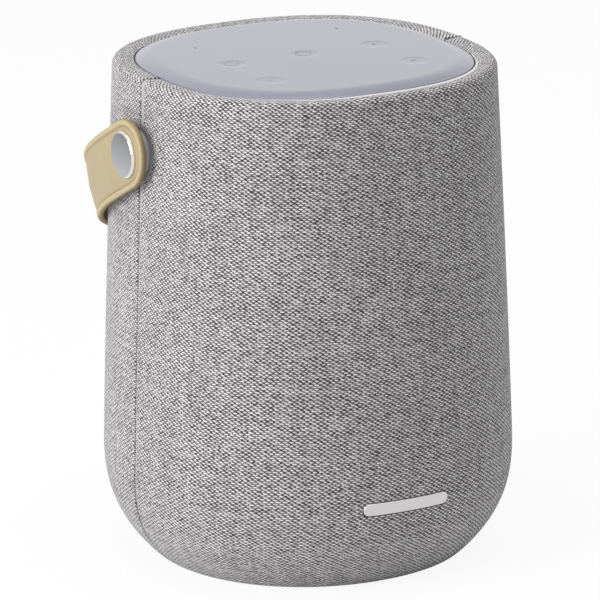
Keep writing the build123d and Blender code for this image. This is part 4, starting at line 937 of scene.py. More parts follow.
    def build_half(self, side: Side) -> bpy.types.Object:
        """Make one half of the cover.

        Its columns share out the way from seam to seam at each height. Beside the seams the surface dips by
        an arc into the seam.

        Args:
            side: The front or the rear half.
        Returns:
            The half cover.
        """
        rows, length = self.meridian(), self.half_girth()
        places = self.columns(length)
        walls = rows.level == 0
        first_angle, first_place = (math.pi, 0.0) if side is Side.FRONT else (0.0, length)
        gap = np.where(walls, self.seam_half, self.rim_seam_half) - side.value * self.drift(rows.heights)
        margin = np.arcsin(gap / self.form.half(rows.heights))[:, None]
        angle = first_angle + margin + (places / length)[None, :] * (math.pi - 2 * margin)
        height = np.repeat(rows.heights[:, None], len(places), axis=1)
        from_seam = np.minimum(places, length - places)[None, :]
        dip = self.seam_fold - np.sqrt(self.seam_fold ** 2 - np.maximum(self.seam_fold - from_seam, 0) ** 2)
        angle, height, inside = self.open_holes(angle, height, walls, side)
        points = self.cloth_points(rows, angle, height, dip)
        up = self.row_places(rows)[:, None] + height - rows.heights[:, None]
        pattern = np.stack(np.broadcast_arrays(places[None, :] + first_place, up), axis=-1)
        keep = ~(inside[:-1, :-1] & inside[:-1, 1:] & inside[1:, 1:] & inside[1:, :-1])
        piece = grid_object(f"{side.name.lower()}_woven_cover", points, pattern=pattern, keep=keep)
        for name, values in zip(("hem", "hem_tone"), self.hem_distance(from_seam, points, side)):
            add_measure(piece, name, values)
        thicken(piece, self.thickness)
        return piece

    def open_holes(self, angle: np.ndarray, height: np.ndarray, walls: np.ndarray,
                   side: Side) -> tuple[np.ndarray, np.ndarray, np.ndarray]:
        """Move grid points inside each hole onto its outline.

        A point in a boss hole goes straight out from the pivot to the circle. A point in the bay's hole goes
        to the nearest side of the rounded rectangle.

        Args:
            angle: Direction of each grid point.
            height: Height of each grid point.
            walls: True for each row that lies on the wall.
            side: The front or the rear half.
        Returns:
            New directions, new heights, and True for each point inside a hole.
        """
        on_wall = np.broadcast_to(walls[:, None], angle.shape)
        points = self.form.wall(angle, height, np.zeros_like(height))
        inside = np.zeros(angle.shape, dtype=bool)
        for hand in Hand:
            rise, offset = height - self.pivot_height, points[..., 1]
            distance = np.hypot(offset, rise)
            hole = on_wall & (distance < self.boss_hole) & (points[..., 0] * hand.value > 0)
            stretch = self.boss_hole / np.maximum(distance, TINY)
            new_y, new_z = offset * stretch, self.pivot_height + rise * stretch
            new_x = hand.value * self.form.depth_beside(np.where(hole, new_y, 0), new_z)
            angle = np.where(hole, np.mod(np.arctan2(new_y, new_x), FULL_TURN), angle)
            height = np.where(hole, new_z, height)
            inside |= hole
        if side is Side.REAR:
            offset, rise = points[..., 0], height - self.bay_centre
            half_x, half_z = self.bay_half
            core_x, core_z = half_x - self.bay_corner, half_z - self.bay_corner
            near_x, near_z = np.clip(offset, -core_x, core_x), np.clip(rise, -core_z, core_z)
            beyond = np.hypot(offset - near_x, rise - near_z)
            hole = on_wall & (beyond < self.bay_corner) & (points[..., 1] > 0)
            stretch = self.bay_corner / np.maximum(beyond, TINY)
            in_corner = (np.abs(offset) > core_x) & (np.abs(rise) > core_z)
            to_level = half_z - np.abs(rise) < half_x - np.abs(offset)
            new_x = np.where(in_corner, near_x + (offset - near_x) * stretch,
                             np.where(to_level, offset, np.sign(offset) * half_x))
            new_z = self.bay_centre + np.where(in_corner, near_z + (rise - near_z) * stretch,
                                               np.where(to_level, np.sign(rise) * half_z, rise))
            new_y = self.form.depth_beside(np.where(hole, new_x, 0), new_z)
            angle = np.where(hole, np.arctan2(new_y, new_x), angle)
            height = np.where(hole, new_z, height)
            inside |= hole
        return angle, height, inside

    def seam_line(self) -> tuple[np.ndarray, np.ndarray, np.ndarray]:
        """Places of the stitches up one seam, over the rim and in to the panel.

        Returns:
            Places as distance out and height, outward normals, and True for each place on the rim.
        """
        low, top = self.lift + 2 * self.foot_blend, self.form.height - self.rim_radius
        wall = np.arange(low, top, self.stitch_pitch)
        wall = wall[np.abs(wall - self.pivot_height) > self.boss_hole + self.stitch_pitch]
        rim_in = self.panel_half_x + self.rim_gap + 2 * self.fold_radius
        rim_out = float(self.form.half(np.array(self.form.height))) - self.rim_radius
        rim = np.arange(rim_in, rim_out + self.stitch_overrun, self.stitch_pitch)
        places = np.concatenate([np.stack([self.form.half(wall), wall], -1),
                                 np.stack([rim, np.full_like(rim, self.form.height)], -1)])
        on_rim = np.arange(len(places)) >= len(wall)
        normals = np.where(on_rim[:, None], np.array([0.0, 1.0]), np.array([1.0, 0.0]))
        return places, normals, on_rim

    def build_stitches(self) -> bpy.types.Object:
        """Make the threads that close both side seams.

        Each thread is a thin tube along a parabola over the seam. On the wall it lies down in the seam, where
        its dark dots are painted shade for the shadows between the weave's rows, and on the rim it is coarser
        and stands a little proud.

        Returns:
            One object with all threads.
        """
        places, normals, on_rim = self.seam_line()
        radius, half, sink = [np.array(pair)[on_rim.astype(int)][:, None, None]
                              for pair in (self.stitch_radius, self.stitch_half, self.stitch_sink)]
        across = np.linspace(-1, 1, 7)
        around = np.linspace(0, FULL_TURN, 6, endpoint=False)
        radius = radius * np.sqrt(np.maximum(1 - across ** 4, self.stitch_tip))[None, :, None]
        out = self.stitch_bow * (1 - across[None, :, None] ** 2) - sink + radius * np.cos(around)[None, None]
        aside = radius * np.sin(around)[None, None]
        y = np.broadcast_to(across[None, :, None] * half, out.shape) - self.drift(places[:, 1])[:, None, None]
        tangent = np.stack([-normals[:, 1], normals[:, 0]], -1)
        plane = (places[:, None, None] + normals[:, None, None] * out[..., None]
                 + tangent[:, None, None] * aside[..., None])
        starts = np.arange(len(places)) * len(across) * len(around)
        template = grid_quads(len(across), len(around), close_columns=True)
        quads = (template[None] + starts[:, None, None]).reshape(-1, 4)
        right = np.stack([plane[..., 0], y, plane[..., 1]], -1).reshape(-1, 3)
        left = right * np.array([-1, 1, 1])
        return make_object("seam_stitches_and_shade", np.concatenate([right, left]),
                           np.concatenate([quads[:, ::-1], quads + len(right)]))

    def build(self) -> list[bpy.types.Object]:
        """Make and dress the cover.

        Returns:
            The visible pieces.
        """
        cloth = self.cloth.build()
        front, rear = self.build_half(Side.FRONT), self.build_half(Side.REAR)
        stitches = self.build_stitches()
        for piece in (front, rear):
            piece.data.materials.append(cloth)
        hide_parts("front_fabric_cover")
        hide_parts("rear_fabric_cover")
        # Spun thread, matt and dark, so that it draws a line in the seam. On the wall its dark dots are
        # painted shade, for the shadows between the weave's rows.
        stitches.data.materials.append(Moulded("dark_seam_thread_and_shade", "#4C4A4D", 0.8, 0.2, 0.05).build())
        for piece in (front, rear, stitches):
            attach(piece, "speaker_body")
        self.flat_size()
        self.flat_size()
        return [front, rear, stitches]


# ------------------------------------------------------------------ touch panel
@dataclass
class TouchPanel:
    """Crowned touch panel with finger dimples, faint printed marks and two microphone holes."""

    half_x: float
    half_y: float
    top: float
    bottom: float
    squareness: float = 2.49
    crown: float = 2.4
    crown_share: float = 0.12    # share of the crown that is spread over the whole panel
    roll_width: float = 8.5      # border in which the rest falls away
    edge_radius: float = 1.0
    pitch_x: float = 34.0
    pitch_y: float = 33.3
    key_radius: float = 6.0
    key_depth: float = 0.26
    key_power: float = 7.0       # a flat-bottomed dish with a short wall
    mark_back: float = 1.0       # marks stand behind the dish's centre
    mark_lift: float = 0.03
    ring_marks: tuple[tuple[float, float], ...] = ((3.1, 2.8), (3.4, 3.05))   # outer and inner radius
    bar_mark: tuple[float, float] = (1.7, 0.28)    # half length and half width
    wedge_mark: float = 1.5      # the triangle's corners from its centre
    hole_radius: float = 0.6
    hole_depth: float = 1.4
    hole_wall: float = 0.12      # width of the hole's sloping wall
    fine_half: float = 1.0       # finer grid this near to a hole's centre
    hole_swell: float = 1.027    # panel's reach towards a hole, beside its mean half width
    rings: int = 140
    spokes: int = 320

    def keys(self) -> list[tuple[float, float]]:
        """Centres of the touch keys: a row of three and two in front of it."""
        return [(-self.pitch_x, 0.0), (0.0, 0.0), (self.pitch_x, 0.0),
                (-self.pitch_x, -self.pitch_y), (self.pitch_x, -self.pitch_y)]

    def surface(self, x: np.ndarray, y: np.ndarray) -> np.ndarray:
        """Height of the panel: nearly level in the middle and rolling down to its edge.

        A small part of the crown falls as the square of the distance from the centre. The rest falls in the
        border as the square of the way across it. Each key is a shallow dish.

        Args:
            x: Distances to the right in millimetres.
            y: Distances to the back in millimetres.
        Returns:
            Heights in millimetres.
        """
        angle = np.arctan2(y, x)
        edge = BodyForm.reach(angle, self.half_x, self.half_y, self.squareness)
        share = np.clip(np.hypot(x, y) / edge, 0, 1)
        roll = np.clip((share - 1) * edge / self.roll_width + 1, 0, 1) ** 2
        height = self.top - self.crown * (self.crown_share * share ** 2 + (1 - self.crown_share) * roll)
        for key_x, key_y in self.keys():
            away = np.hypot(x - key_x, y - key_y) / self.key_radius
            height = height - self.key_depth * np.maximum(1 - away ** self.key_power, 0)
        return height

    def build_shell(self) -> bpy.types.Object:
        """Make the panel as rings that run up its side, over its edge and to its centre.

        Rings and spokes lie close together at the microphone holes.

        Returns:
            The panel.
        """
        hole_place = math.hypot(self.pitch_x, self.pitch_y)
        hole_angle = math.atan2(self.pitch_y, self.pitch_x)
        fine = np.linspace(-self.fine_half, self.fine_half, 15)
        hole_ring = (hole_place + fine) / ((self.half_x + self.half_y) / 2 * self.hole_swell)
        rings = np.unique(np.round(np.concatenate([np.linspace(0, 1, self.rings), hole_ring]), 5))
        angles = np.concatenate([np.linspace(0, FULL_TURN, self.spokes, endpoint=False),
                                 hole_angle + fine / hole_place, math.pi - hole_angle + fine / hole_place])
        angles = np.unique(np.round(angles, 5))
        edge = BodyForm.reach(angles, self.half_x, self.half_y, self.squareness)
        inner_edge = edge - self.edge_radius
        radius = inner_edge[None, :] * rings[::-1, None]
        x, y = radius * np.cos(angles), radius * np.sin(angles)
        pit = np.zeros_like(x)
        for hand in Hand:
            away = np.hypot(x - hand.value * self.pitch_x, y - self.pitch_y)
            pit = np.maximum(pit, np.clip((self.hole_radius - away) / self.hole_wall, 0, 1))
        z = self.surface(x, y) - self.hole_depth * pit
        turn = np.radians(np.linspace(0, 90, 7)[1:-1])
        side_foot = self.surface(x[0], y[0]) - self.edge_radius
        side_reach = np.stack([0 * edge, edge, edge]
                              + [inner_edge + self.edge_radius * np.cos(a) for a in turn])
        side_z = np.stack([np.full_like(edge, self.bottom)] * 2 + [side_foot]
                          + [side_foot + self.edge_radius * np.sin(a) for a in turn])
        side = np.stack([side_reach * np.cos(angles), side_reach * np.sin(angles), side_z], axis=-1)
        points = np.concatenate([side, np.stack([x, y, z], axis=-1)])
        shell = grid_object("touch_panel_shell", points, close_columns=True, merge=4 * WELD)
        centres = np.zeros(len(shell.data.polygons) * 3, dtype=np.float32)
        shell.data.polygons.foreach_get("center", centres)
        centres = centres.reshape(-1, 3) / MM
        away = np.hypot(np.abs(centres[:, 0]) - self.pitch_x, centres[:, 1] - self.pitch_y)
        shell.data.polygons.foreach_set("material_index", (away < self.hole_radius).astype(np.int32))
        return shell

    def flat_mark(self, name: str, centre: tuple[float, float], outline: np.ndarray,
                  core: np.ndarray) -> bpy.types.Object:
        """Make a printed mark that lies on the panel.

        Args:
            name: Name of the piece.
            centre: Centre of the mark on the panel.
            outline: Outer loop of the mark about its centre.
            core: Inner loop of the mark, with as many points.
        Returns:
            The mark.
        """
        share = np.linspace(0, 1, 4)[:, None, None]
        flat = outline[None] * (1 - share) + core[None] * share + np.array(centre)
        lifted = self.surface(flat[..., 0], flat[..., 1]) + self.mark_lift
        points = np.concatenate([flat, lifted[..., None]], axis=-1)
        return grid_object(name, points, close_columns=True, merge=WELD)

    def build_marks(self) -> list[bpy.types.Object]:
        """Make the five key marks: two rings, a triangle, a minus and a plus.

        The triangle's reach at an angle is its corner's times cos 60 degrees over the cosine of the angle
        from the middle of the nearest side. A bar is a long ellipse.

        Returns:
            The marks.
        """
        angle = np.linspace(0, FULL_TURN, 48, endpoint=False)
        circle = np.stack([np.cos(angle), np.sin(angle)], axis=-1)
        left, middle, right, front_left, front_right = [(x, y + self.mark_back) for x, y in self.keys()]
        third = math.pi / 3
        wedge = self.wedge_mark * np.cos(third) / np.cos(np.mod(angle, 2 * third) - third)
        bar = circle * np.array(self.bar_mark)
        upright = circle * np.array(self.bar_mark[::-1])
        marks = [(f"key_mark_ring_{name}", centre, outer * circle, inner * circle)
                 for name, centre, (outer, inner) in zip(("left", "middle"), (left, middle), self.ring_marks)]
        marks += [("key_mark_triangle", right, circle * wedge[:, None], 0 * circle),
                  ("key_mark_minus", front_left, bar, 0 * circle),
                  ("key_mark_plus_bar", front_right, bar, 0 * circle),
                  ("key_mark_plus_upright", front_right, upright, 0 * circle)]
        return [self.flat_mark(*mark) for mark in marks]

    def build(self) -> list[bpy.types.Object]:
        """Make and dress the panel.

        Returns:
            The visible pieces.
        """
        shell, marks = self.build_shell(), self.build_marks()
        # Lacquer over grey paint, which pales where it mirrors bright surroundings at a low angle.
        lacquer = Moulded("satin_lacquered_panel", "#777988", 0.28, relief=0.0, mottle=0.002, coat=0.8)
        shell.data.materials.append(lacquer.build())
        # Fine mesh in the microphone holes, nearly black: painted shade, so that the holes look deep.
        shell.data.materials.append(Moulded("microphone_hole_shade", "#1E1E21", 0.8, 0.2).build())
        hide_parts("top_panel")
        # Printed ink, a shade off the panel's own, so that the marks are faint.
        ink = Moulded("grey_pad_print", "#70717B").build()
        for mark in marks:
            mark.data.materials.append(ink)
        for piece in [shell] + marks:
            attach(piece, "speaker_body")
        return [shell] + marks


# ------------------------------------------------------------------ carry strap
@dataclass
class CarryStrap:
    """Leather strap that loops round the back, with its knobs and the bosses behind its ends."""

    pivot_height: float
    half: float                  # from the speaker's middle to the strap's outer face at a pivot
    back: float                  # how far back its upper edge stands
    boss_radius: float
    straight: float = 13.9       # straight run past a pivot
    squareness: float = 2.12     # of the bend round the back
    slope: float = 27.2          # how far the strap hangs below level, in degrees
    thickness: float = 2.8
    width_half: float = 14.6
    end: float = 15.9            # from a pivot to the strap's tip
    hole: float = 3.3
    edge_radius: float = 1.3
    border: float = 2.5          # width of the raised border
    border_rise: float = 0.2
    border_flat: tuple[float, ...] = (0.0, 0.35, 0.7, 1.0)                 # places across its level part
    border_gap: float = 0.1      # from the rounded edge to the level part
    border_slope: float = 0.8    # width of its inner slope
    groove_place: tuple[float, ...] = (-0.35, -0.15, 0.05, 0.3, 0.6, 1.0)  # distances past the border
    groove_height: tuple[float, ...] = (0.1, -0.08, -0.3, -0.4, -0.32, -0.2)
    field_drop: float = 0.15     # level of the middle under the outer face
    lean_places: tuple[float, ...] = (0.0, 30.0, 60.0, 90.0, 120.0)        # distances from a pivot
    lower_lean: tuple[float, ...] = (0.0, 0.4, -0.8, -1.3, 0.0)            # lower edge stands out there
    upper_lean: tuple[float, ...] = (0.0, -0.5, -1.2, 0.6, 0.0)            # and the upper edge
    along_step: float = 1.4
    bend_points: int = 1200
    tangent_step: float = 0.5    # half length of the chord that gives a tangent
    knob_radius: float = 10.0
    knob_back: float = 0.7       # foot of its rim behind the strap's face
    knob_face: float = 1.5
    knob_chamfer: float = 0.8
    knob_soft: float = 0.06      # softening of the chamfer's corners
    knob_dome: float = 0.3
    boss_chamfer: float = 0.9
    boss_soft: float = 0.3       # chamfer at its foot
    boss_foot: float = 1.2       # the collar goes on below the cloth by this

    @property
    def reach(self) -> float:
        """How far the strap reaches back in its own plane, from where its upper edge stands."""
        slope = math.radians(self.slope)
        return (self.back - self.width_half * math.sin(slope)) / math.cos(slope)

    def bend(self) -> tuple[np.ndarray, np.ndarray]:
        """Line of the strap round the back: half a superellipse, from left to right.

        Returns:
            Places to the right and to the back, in the strap's plane.
        """
        turn = np.linspace(math.pi, 0, self.bend_points)
        power = 2 / self.squareness
        right = self.half * np.sign(np.cos(turn)) * np.abs(np.cos(turn)) ** power
        return right, self.straight + (self.reach - self.straight) * np.abs(np.sin(turn)) ** power

    def length(self) -> float:
        """Distance from pivot to pivot along the strap."""
        right, back = self.bend()
        return 2 * self.straight + float(np.hypot(np.diff(right), np.diff(back)).sum())

    def path(self, along: np.ndarray) -> tuple[np.ndarray, np.ndarray]:
        """Outer line of the strap in its own plane.

        The line runs straight past the left pivot, round a half superellipse at the back and straight past
        the right pivot. Distances along it come from adding up short chords.

        Args:
            along: Distances from the left pivot in millimetres.
        Returns:
            Points and outward unit normals in the strap's plane.
        """
        bend_x, bend_y = self.bend()
        lead = 2 * self.end
        line_x = np.concatenate([[-self.half], bend_x, [self.half]])
        line_y = np.concatenate([[-lead], bend_y, [-lead]])
        length = np.concatenate([[0], np.cumsum(np.hypot(np.diff(line_x), np.diff(line_y)))]) - lead
        before, here, after = [np.stack([np.interp(along + step, length, line_x),
                                         np.interp(along + step, length, line_y)], -1)
                               for step in (-self.tangent_step, 0.0, self.tangent_step)]
        tangent = (after - before) / np.linalg.norm(after - before, axis=-1, keepdims=True)
        return here, np.stack([-tangent[..., 1], tangent[..., 0]], axis=-1)

    def to_speaker(self, plane: np.ndarray, across: np.ndarray) -> np.ndarray:
        """Carry points from the strap's plane into the speaker's frame.

        Args:
            plane: Points in the strap's plane, right and back.
            across: Distances above that plane.
        Returns:
            Points x, y, z in millimetres.
        """
        slope = math.radians(self.slope)
        y = plane[..., 1] * math.cos(slope) + across * math.sin(slope)
        z = self.pivot_height - plane[..., 1] * math.sin(slope) + across * math.cos(slope)
        return np.stack([plane[..., 0], y, z], axis=-1)

    def outline(self) -> tuple[np.ndarray, np.ndarray]:
        """Edge of the flat strap and the inner line that its faces run to.

        Returns:
            Loop of edge points and loop of middle points, each as distance along and across.
        """
        length = self.length()
        near = self.hole * np.sin(np.linspace(0, math.pi / 2, 7))
        middle = np.linspace(self.hole, length - self.hole, int(length / self.along_step))[1:-1]
        along = np.concatenate([near, middle, length - near[::-1]])
        to_pivot = np.minimum(along, length - along)
        slot = np.sqrt(np.maximum(self.hole ** 2 - to_pivot ** 2, 0))
        tip = np.radians(np.linspace(90, -90, 33)[1:-1])
        cos, sin, pivot = np.cos(tip), np.sin(tip), np.array([length, 0])
        upper = np.stack([along, np.full_like(along, self.width_half)], -1)
        upper_core = np.stack([along, slot], -1)
        left = np.stack([-self.end * cos, -self.width_half * sin], -1)
        left_core = np.stack([-self.hole * cos, -self.hole * sin], -1)
        below = np.array([1, -1])
        edge = [upper, pivot - left, (upper * below)[::-1], left]
        core = [upper_core, pivot - left_core, (upper_core * below)[::-1], left_core]
        return np.concatenate(edge), np.concatenate(core)

    def profile(self, width: np.ndarray) -> tuple[np.ndarray, np.ndarray]:
        """Cross profile, from the middle of the outer face round the edge to the middle of the inner one.

        The middle is level, a groove lies at the foot of the raised border, and the edge is round on both
        sides.

        Args:
            width: Distance from the edge to the middle at each place of the outline.
        Returns:
            Distances in from the edge and heights over the outer face, one row for each profile point.
        """
        radius = self.edge_radius
        groove = [self.border + place for place in self.groove_place]
        flat_start, flat_width = radius + self.border_gap, self.border - radius - self.border_slope
        corner = [(radius + radius * math.cos(a), radius - radius * math.sin(a))
                  for a in np.radians(np.linspace(90, 180, 6))]
        rows = [(groove[-1] + (width - groove[-1]) * share, -self.field_drop)
                for share in np.linspace(1, 0.2, 5)]
        rows += list(zip(groove, self.groove_height))[::-1]
        rows += [(flat_start + flat_width * place, self.border_rise) for place in self.border_flat[::-1]]
        rows += [(inward, self.border_rise - depth) for inward, depth in corner]
        rows += [(inward, depth - self.thickness) for inward, depth in corner[::-1]]
        rows += [(radius + (width - radius) * share, -self.thickness) for share in np.linspace(0.25, 1, 4)]
        inward = np.stack([place + 0 * width for place, _ in rows])
        return inward, np.stack([height + 0 * width for _, height in rows])

    def build_strap(self) -> bpy.types.Object:
        """Make the strap: its cross profile, carried round the whole outline and bent along the path.

        Its edges lean in or out by amounts that change along it.

        Returns:
            The strap.
        """
        edge, core = self.outline()
        width = np.linalg.norm(core - edge, axis=-1)
        inward, height = self.profile(width)
        share = (inward / width)[..., None]
        flat = edge[None] * (1 - share) + core[None] * share
        here, normal = self.path(flat[..., 0])
        to_pivot = np.minimum(flat[..., 0], self.length() - flat[..., 0])
        lower = np.interp(to_pivot, self.lean_places, self.lower_lean)
        upper = np.interp(to_pivot, self.lean_places, self.upper_lean)
        lean = np.where(flat[..., 1] < 0, lower, upper) * np.abs(flat[..., 1]) / self.width_half
        points = self.to_speaker(here + normal * (height + lean)[..., None], flat[..., 1])
        pattern = np.stack([flat[..., 0], height], axis=-1)
        return grid_object("leather_carry_strap", points[:, ::-1], close_columns=True,
                           pattern=pattern[:, ::-1], merge=2 * WELD)

    def facing_out(self, hand: Hand, start: float) -> Callable[[np.ndarray], np.ndarray]:
        """Place turned pieces on the pivot axis.

        Args:
            hand: The left or right end.
            start: Distance of the profile's zero height from the middle of the speaker.
        Returns:
            Function that moves points from the turning frame.
        """
        def place(points: np.ndarray) -> np.ndarray:
            """Turn height into distance along x and the ring into the y and z plane."""
            x = hand.value * (start + points[..., 2])
            return np.stack([x, hand.value * points[..., 0], self.pivot_height + points[..., 1]], axis=-1)
        return place

    def build_knob(self, hand: Hand) -> list[bpy.types.Object]:
        """Make a knob: a softly domed satin face inside a polished chamfer.

        Args:
            hand: The left or right end.
        Returns:
            The rim and the face.
        """
        radius, face, soft = self.knob_radius, self.knob_face, self.knob_soft
        inner, shoulder = radius - self.knob_chamfer, face - self.knob_chamfer
        share = np.linspace(1, 0, 14)
        dome = np.stack([inner * share, face + self.knob_dome * (1 - share ** 2)], -1)
        # The rim's small offsets round its corners, from its foot to the lip that the face sits in.
        back_corner = [[radius - 0.25, -self.knob_back], [radius, 0.25 - self.knob_back]]
        chamfer = [[radius, shoulder - 0.08], [radius - 0.05, shoulder + soft], [inner + soft, face - 0.05]]
        lip = [[inner - 0.02, face + 0.01], [inner - 0.1, face - soft]]
        place = self.facing_out(hand, self.half)
        return [turned_object(f"knob_rim_{hand.name.lower()}", np.array(back_corner + chamfer + lip), place),
                turned_object(f"knob_face_{hand.name.lower()}", dome, place)]

    def build_boss(self, hand: Hand, start: float, end: float) -> bpy.types.Object:
        """Make the boss: a painted collar with a rounded outer rim.

        Args:
            hand: The left or right end.
            start: Distance of its foot from the middle of the speaker.
            end: Distance of its outer face.
        Returns:
            The boss.
        """
        tall, radius, chamfer, soft = end - start, self.boss_radius, self.boss_chamfer, self.boss_soft
        rim = arc((radius - chamfer, tall - chamfer), chamfer, 0, 90, 7)
        foot = [[self.hole, 0.0], [radius - soft, 0.0], [radius, soft]]
        profile = np.concatenate([foot, rim, [[self.hole, tall]]])
        return turned_object(f"strap_boss_collar_{hand.name.lower()}", profile, self.facing_out(hand, start))

    def build(self) -> list[bpy.types.Object]:
        """Make and dress the strap, the knobs and the bosses.

        Returns:
            The visible pieces.
        """
        strap = self.build_strap()
        strap.data.materials.append(Leather().build())
        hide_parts("carry_strap")
        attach(strap, "carry_strap_body")
        pieces = [strap]
        # The rim is polished to a mirror, the face blasted to a soft shine with a painted reflection that
        # darkens it upwards, and the collar painted, so it is pale and even.
        polish = WorkedMetal("polished_nickel_rim", "#E8E6E2", 0.12, (0.5, 0.5, 0.5), 0.001).build()
        # Painted reflection: the face turns darker grey towards its top.
        face_painted_reflection = (self.pivot_height - self.knob_radius, self.pivot_height + self.knob_radius, "#84858A")
        satin = WorkedMetal("satin_nickel_face", "#C1C1C3", 0.34, (0.3, 0.3, 0.3), 0.002, face_painted_reflection).build()
        collar = Moulded("satin_painted_collar", "#C6C7CE", 0.4, 0.45, 0.002).build()
        for hand in Hand:
            end = hand.name.lower()
            ring, face = self.build_knob(hand)
            low, high = box_mm(f"strap_boss_{end}")
            near, far = sorted((abs(low[0]), abs(high[0])))
            boss = self.build_boss(hand, near - self.boss_foot, far)
            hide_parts(f"strap_knob_{end}")
            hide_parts(f"strap_boss_{end}")
            for part, finish, body, slot in ((ring, polish, "carry_strap_body", "knob_steel"),
                                             (face, satin, "carry_strap_body", "knob_steel"),
                                             (boss, collar, "speaker_body", "boss_metal")):
                part.data.materials.append(finish)
                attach(part, body)
            pieces += [ring, face, boss]
        return pieces


# ------------------------------------------------------------------ badge
@dataclass
class Badge:
    """Bare metal badge with round ends that follows the front of the cover."""

    form: BodyForm
    centre: float = 39.5
    length: float = 40.0
    tall: float = 5.3
    proud: float = 0.95
    edge: float = 0.5            # radius of the plate's edge
    crown: float = 0.1           # rise of the face from its edge to its middle
    shadow_margin: float = 0.08        # near-black strip of painted shadow, wider than the plate
    shadow_drop: float = 0.42   # and lower
    shadow_lift: float = 0.35   # its face over the cloth
    shadow_soft: float = 0.15   # its rounded edge

    def layered(self, name: str, radius: float, centre: float, inset: np.ndarray,
                lift: np.ndarray) -> bpy.types.Object:
        """Make a stadium whose rows run from its outline to its middle line, each at its own height.

        Args:
            name: Name of the piece.
            radius: Half height of the stadium.
            centre: Height of its middle line.
            inset: Distance of each row from the outline.
            lift: Distance of each row from the cloth.
        Returns:
            The piece.
        """
        straight = (self.length - self.tall) / 2
        line = np.linspace(-straight, straight, 30)
        tip = np.radians(np.linspace(90, -90, 15)[1:-1])
        upper = np.stack([line, np.full_like(line, radius)], -1)
        right = np.stack([straight + radius * np.cos(tip), radius * np.sin(tip)], -1)
        outline = np.concatenate([upper, right, upper[::-1] * np.array([1, -1]), -right])
        core = np.stack([np.clip(outline[:, 0], -straight, straight), 0 * outline[:, 1]], -1)
        share = (inset / radius)[:, None, None]
        flat = outline[None] * (1 - share) + core[None] * share
        x, z = flat[..., 0], centre + flat[..., 1]
        y = -(self.form.depth_beside(x, z) + lift[:, None])
        return grid_object(name, np.stack([x, y, z], -1)[:, ::-1], close_columns=True, merge=WELD)

    def build(self) -> list[bpy.types.Object]:
        """Make and dress the badge: a metal plate with a rounded edge over a near-black strip of painted
        shadow.

        Returns:
            The visible pieces.
        """
        radius, shadow_strip_radius = self.tall / 2, self.tall / 2 + self.shadow_margin
        turn = np.radians(np.linspace(0, 90, 6))
        inset = np.concatenate([[0], self.edge * (1 - np.cos(turn)), radius * np.array([0.5, 0.75, 1.0])])
        lift = np.concatenate([[0], self.proud - self.edge + self.edge * np.sin(turn),
                               self.proud + self.crown * np.array([0.6, 0.9, 1.0])])
        plate = self.layered("bare_badge", radius, self.centre, inset, lift)
        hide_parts("badge_plate")
        # Painted shadow: a near-black strip, lower than the plate, for the plate's shadow on the cloth.
        shadow_strip = self.layered("badge_painted_shadow", shadow_strip_radius, self.centre - self.shadow_drop,
                            np.array([0, 0, self.shadow_soft, shadow_strip_radius]),
                            np.array([0, self.shadow_lift - self.shadow_soft] + [self.shadow_lift] * 2))
        # The plate is brushed along its length to an even pale shine. The near-black strip under it is
        # painted shadow.
        for piece, finish in ((plate, WorkedMetal("satin_badge_metal", "#D2D0D0", 0.28, (1.5, 0.2, 0.12))),
                              (shadow_strip, Moulded("black_painted_shadow", "#1B1B1C", 0.9, 0.1))):
            piece.data.materials.append(finish.build())
            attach(piece, "speaker_body")
        return [plate, shadow_strip]


# ------------------------------------------------------------------ woofer's spider
@dataclass
class CoilSpider:
    """Varnished cloth disc with pressed waves that flexes between the woofer's basket and its coil."""

    outer: float
    axis_height: float
    back: float                  # depth of its rearmost face at the basket
    inner: float = 10.5
    dish: float = 2.0            # the coil's edge stands farther back by this
    wave: float = 0.25           # half height of a pressed wave
    waves: int = 6
    wave_points: int = 8         # rings in each wave
    wall: float = 0.5

    def place(self, points: np.ndarray) -> np.ndarray:
        """Turn points so that the disc's axis runs to the front and move them to the woofer."""
        x, z = points[..., 0], self.axis_height + points[..., 1]
        return np.stack([x, self.back - points[..., 2], z], axis=-1)

    def build(self) -> list[bpy.types.Object]:
        """Make the disc, its edge held by the basket and its middle by the coil.

        Its profile is a slope with a cosine wave on it, carried round the axis.

        Returns:
            The disc.
        """
        share = np.linspace(0, 1, self.wave_points * self.waves + 1)
        radius = self.inner + (self.outer - self.inner) * share
        low = self.dish * (share - 1) + self.wave * (1 - np.cos(FULL_TURN * self.waves * share))
        bottom, top = np.stack([radius, low], -1), np.stack([radius, low + self.wall], -1)
        profile = np.concatenate([bottom, top[::-1], bottom[:1]])
        disc = turned_object("woofer_flexing_spider", profile, self.place)
        # Varnished cotton, amber and coarse.
        disc.data.materials.append(Moulded("varnished_spider_cloth", "#B58A4A", 0.8, 0.5, 0.06, 0.1).build())
        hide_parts("woofer_spider")
        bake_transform(disc)
        return [disc]


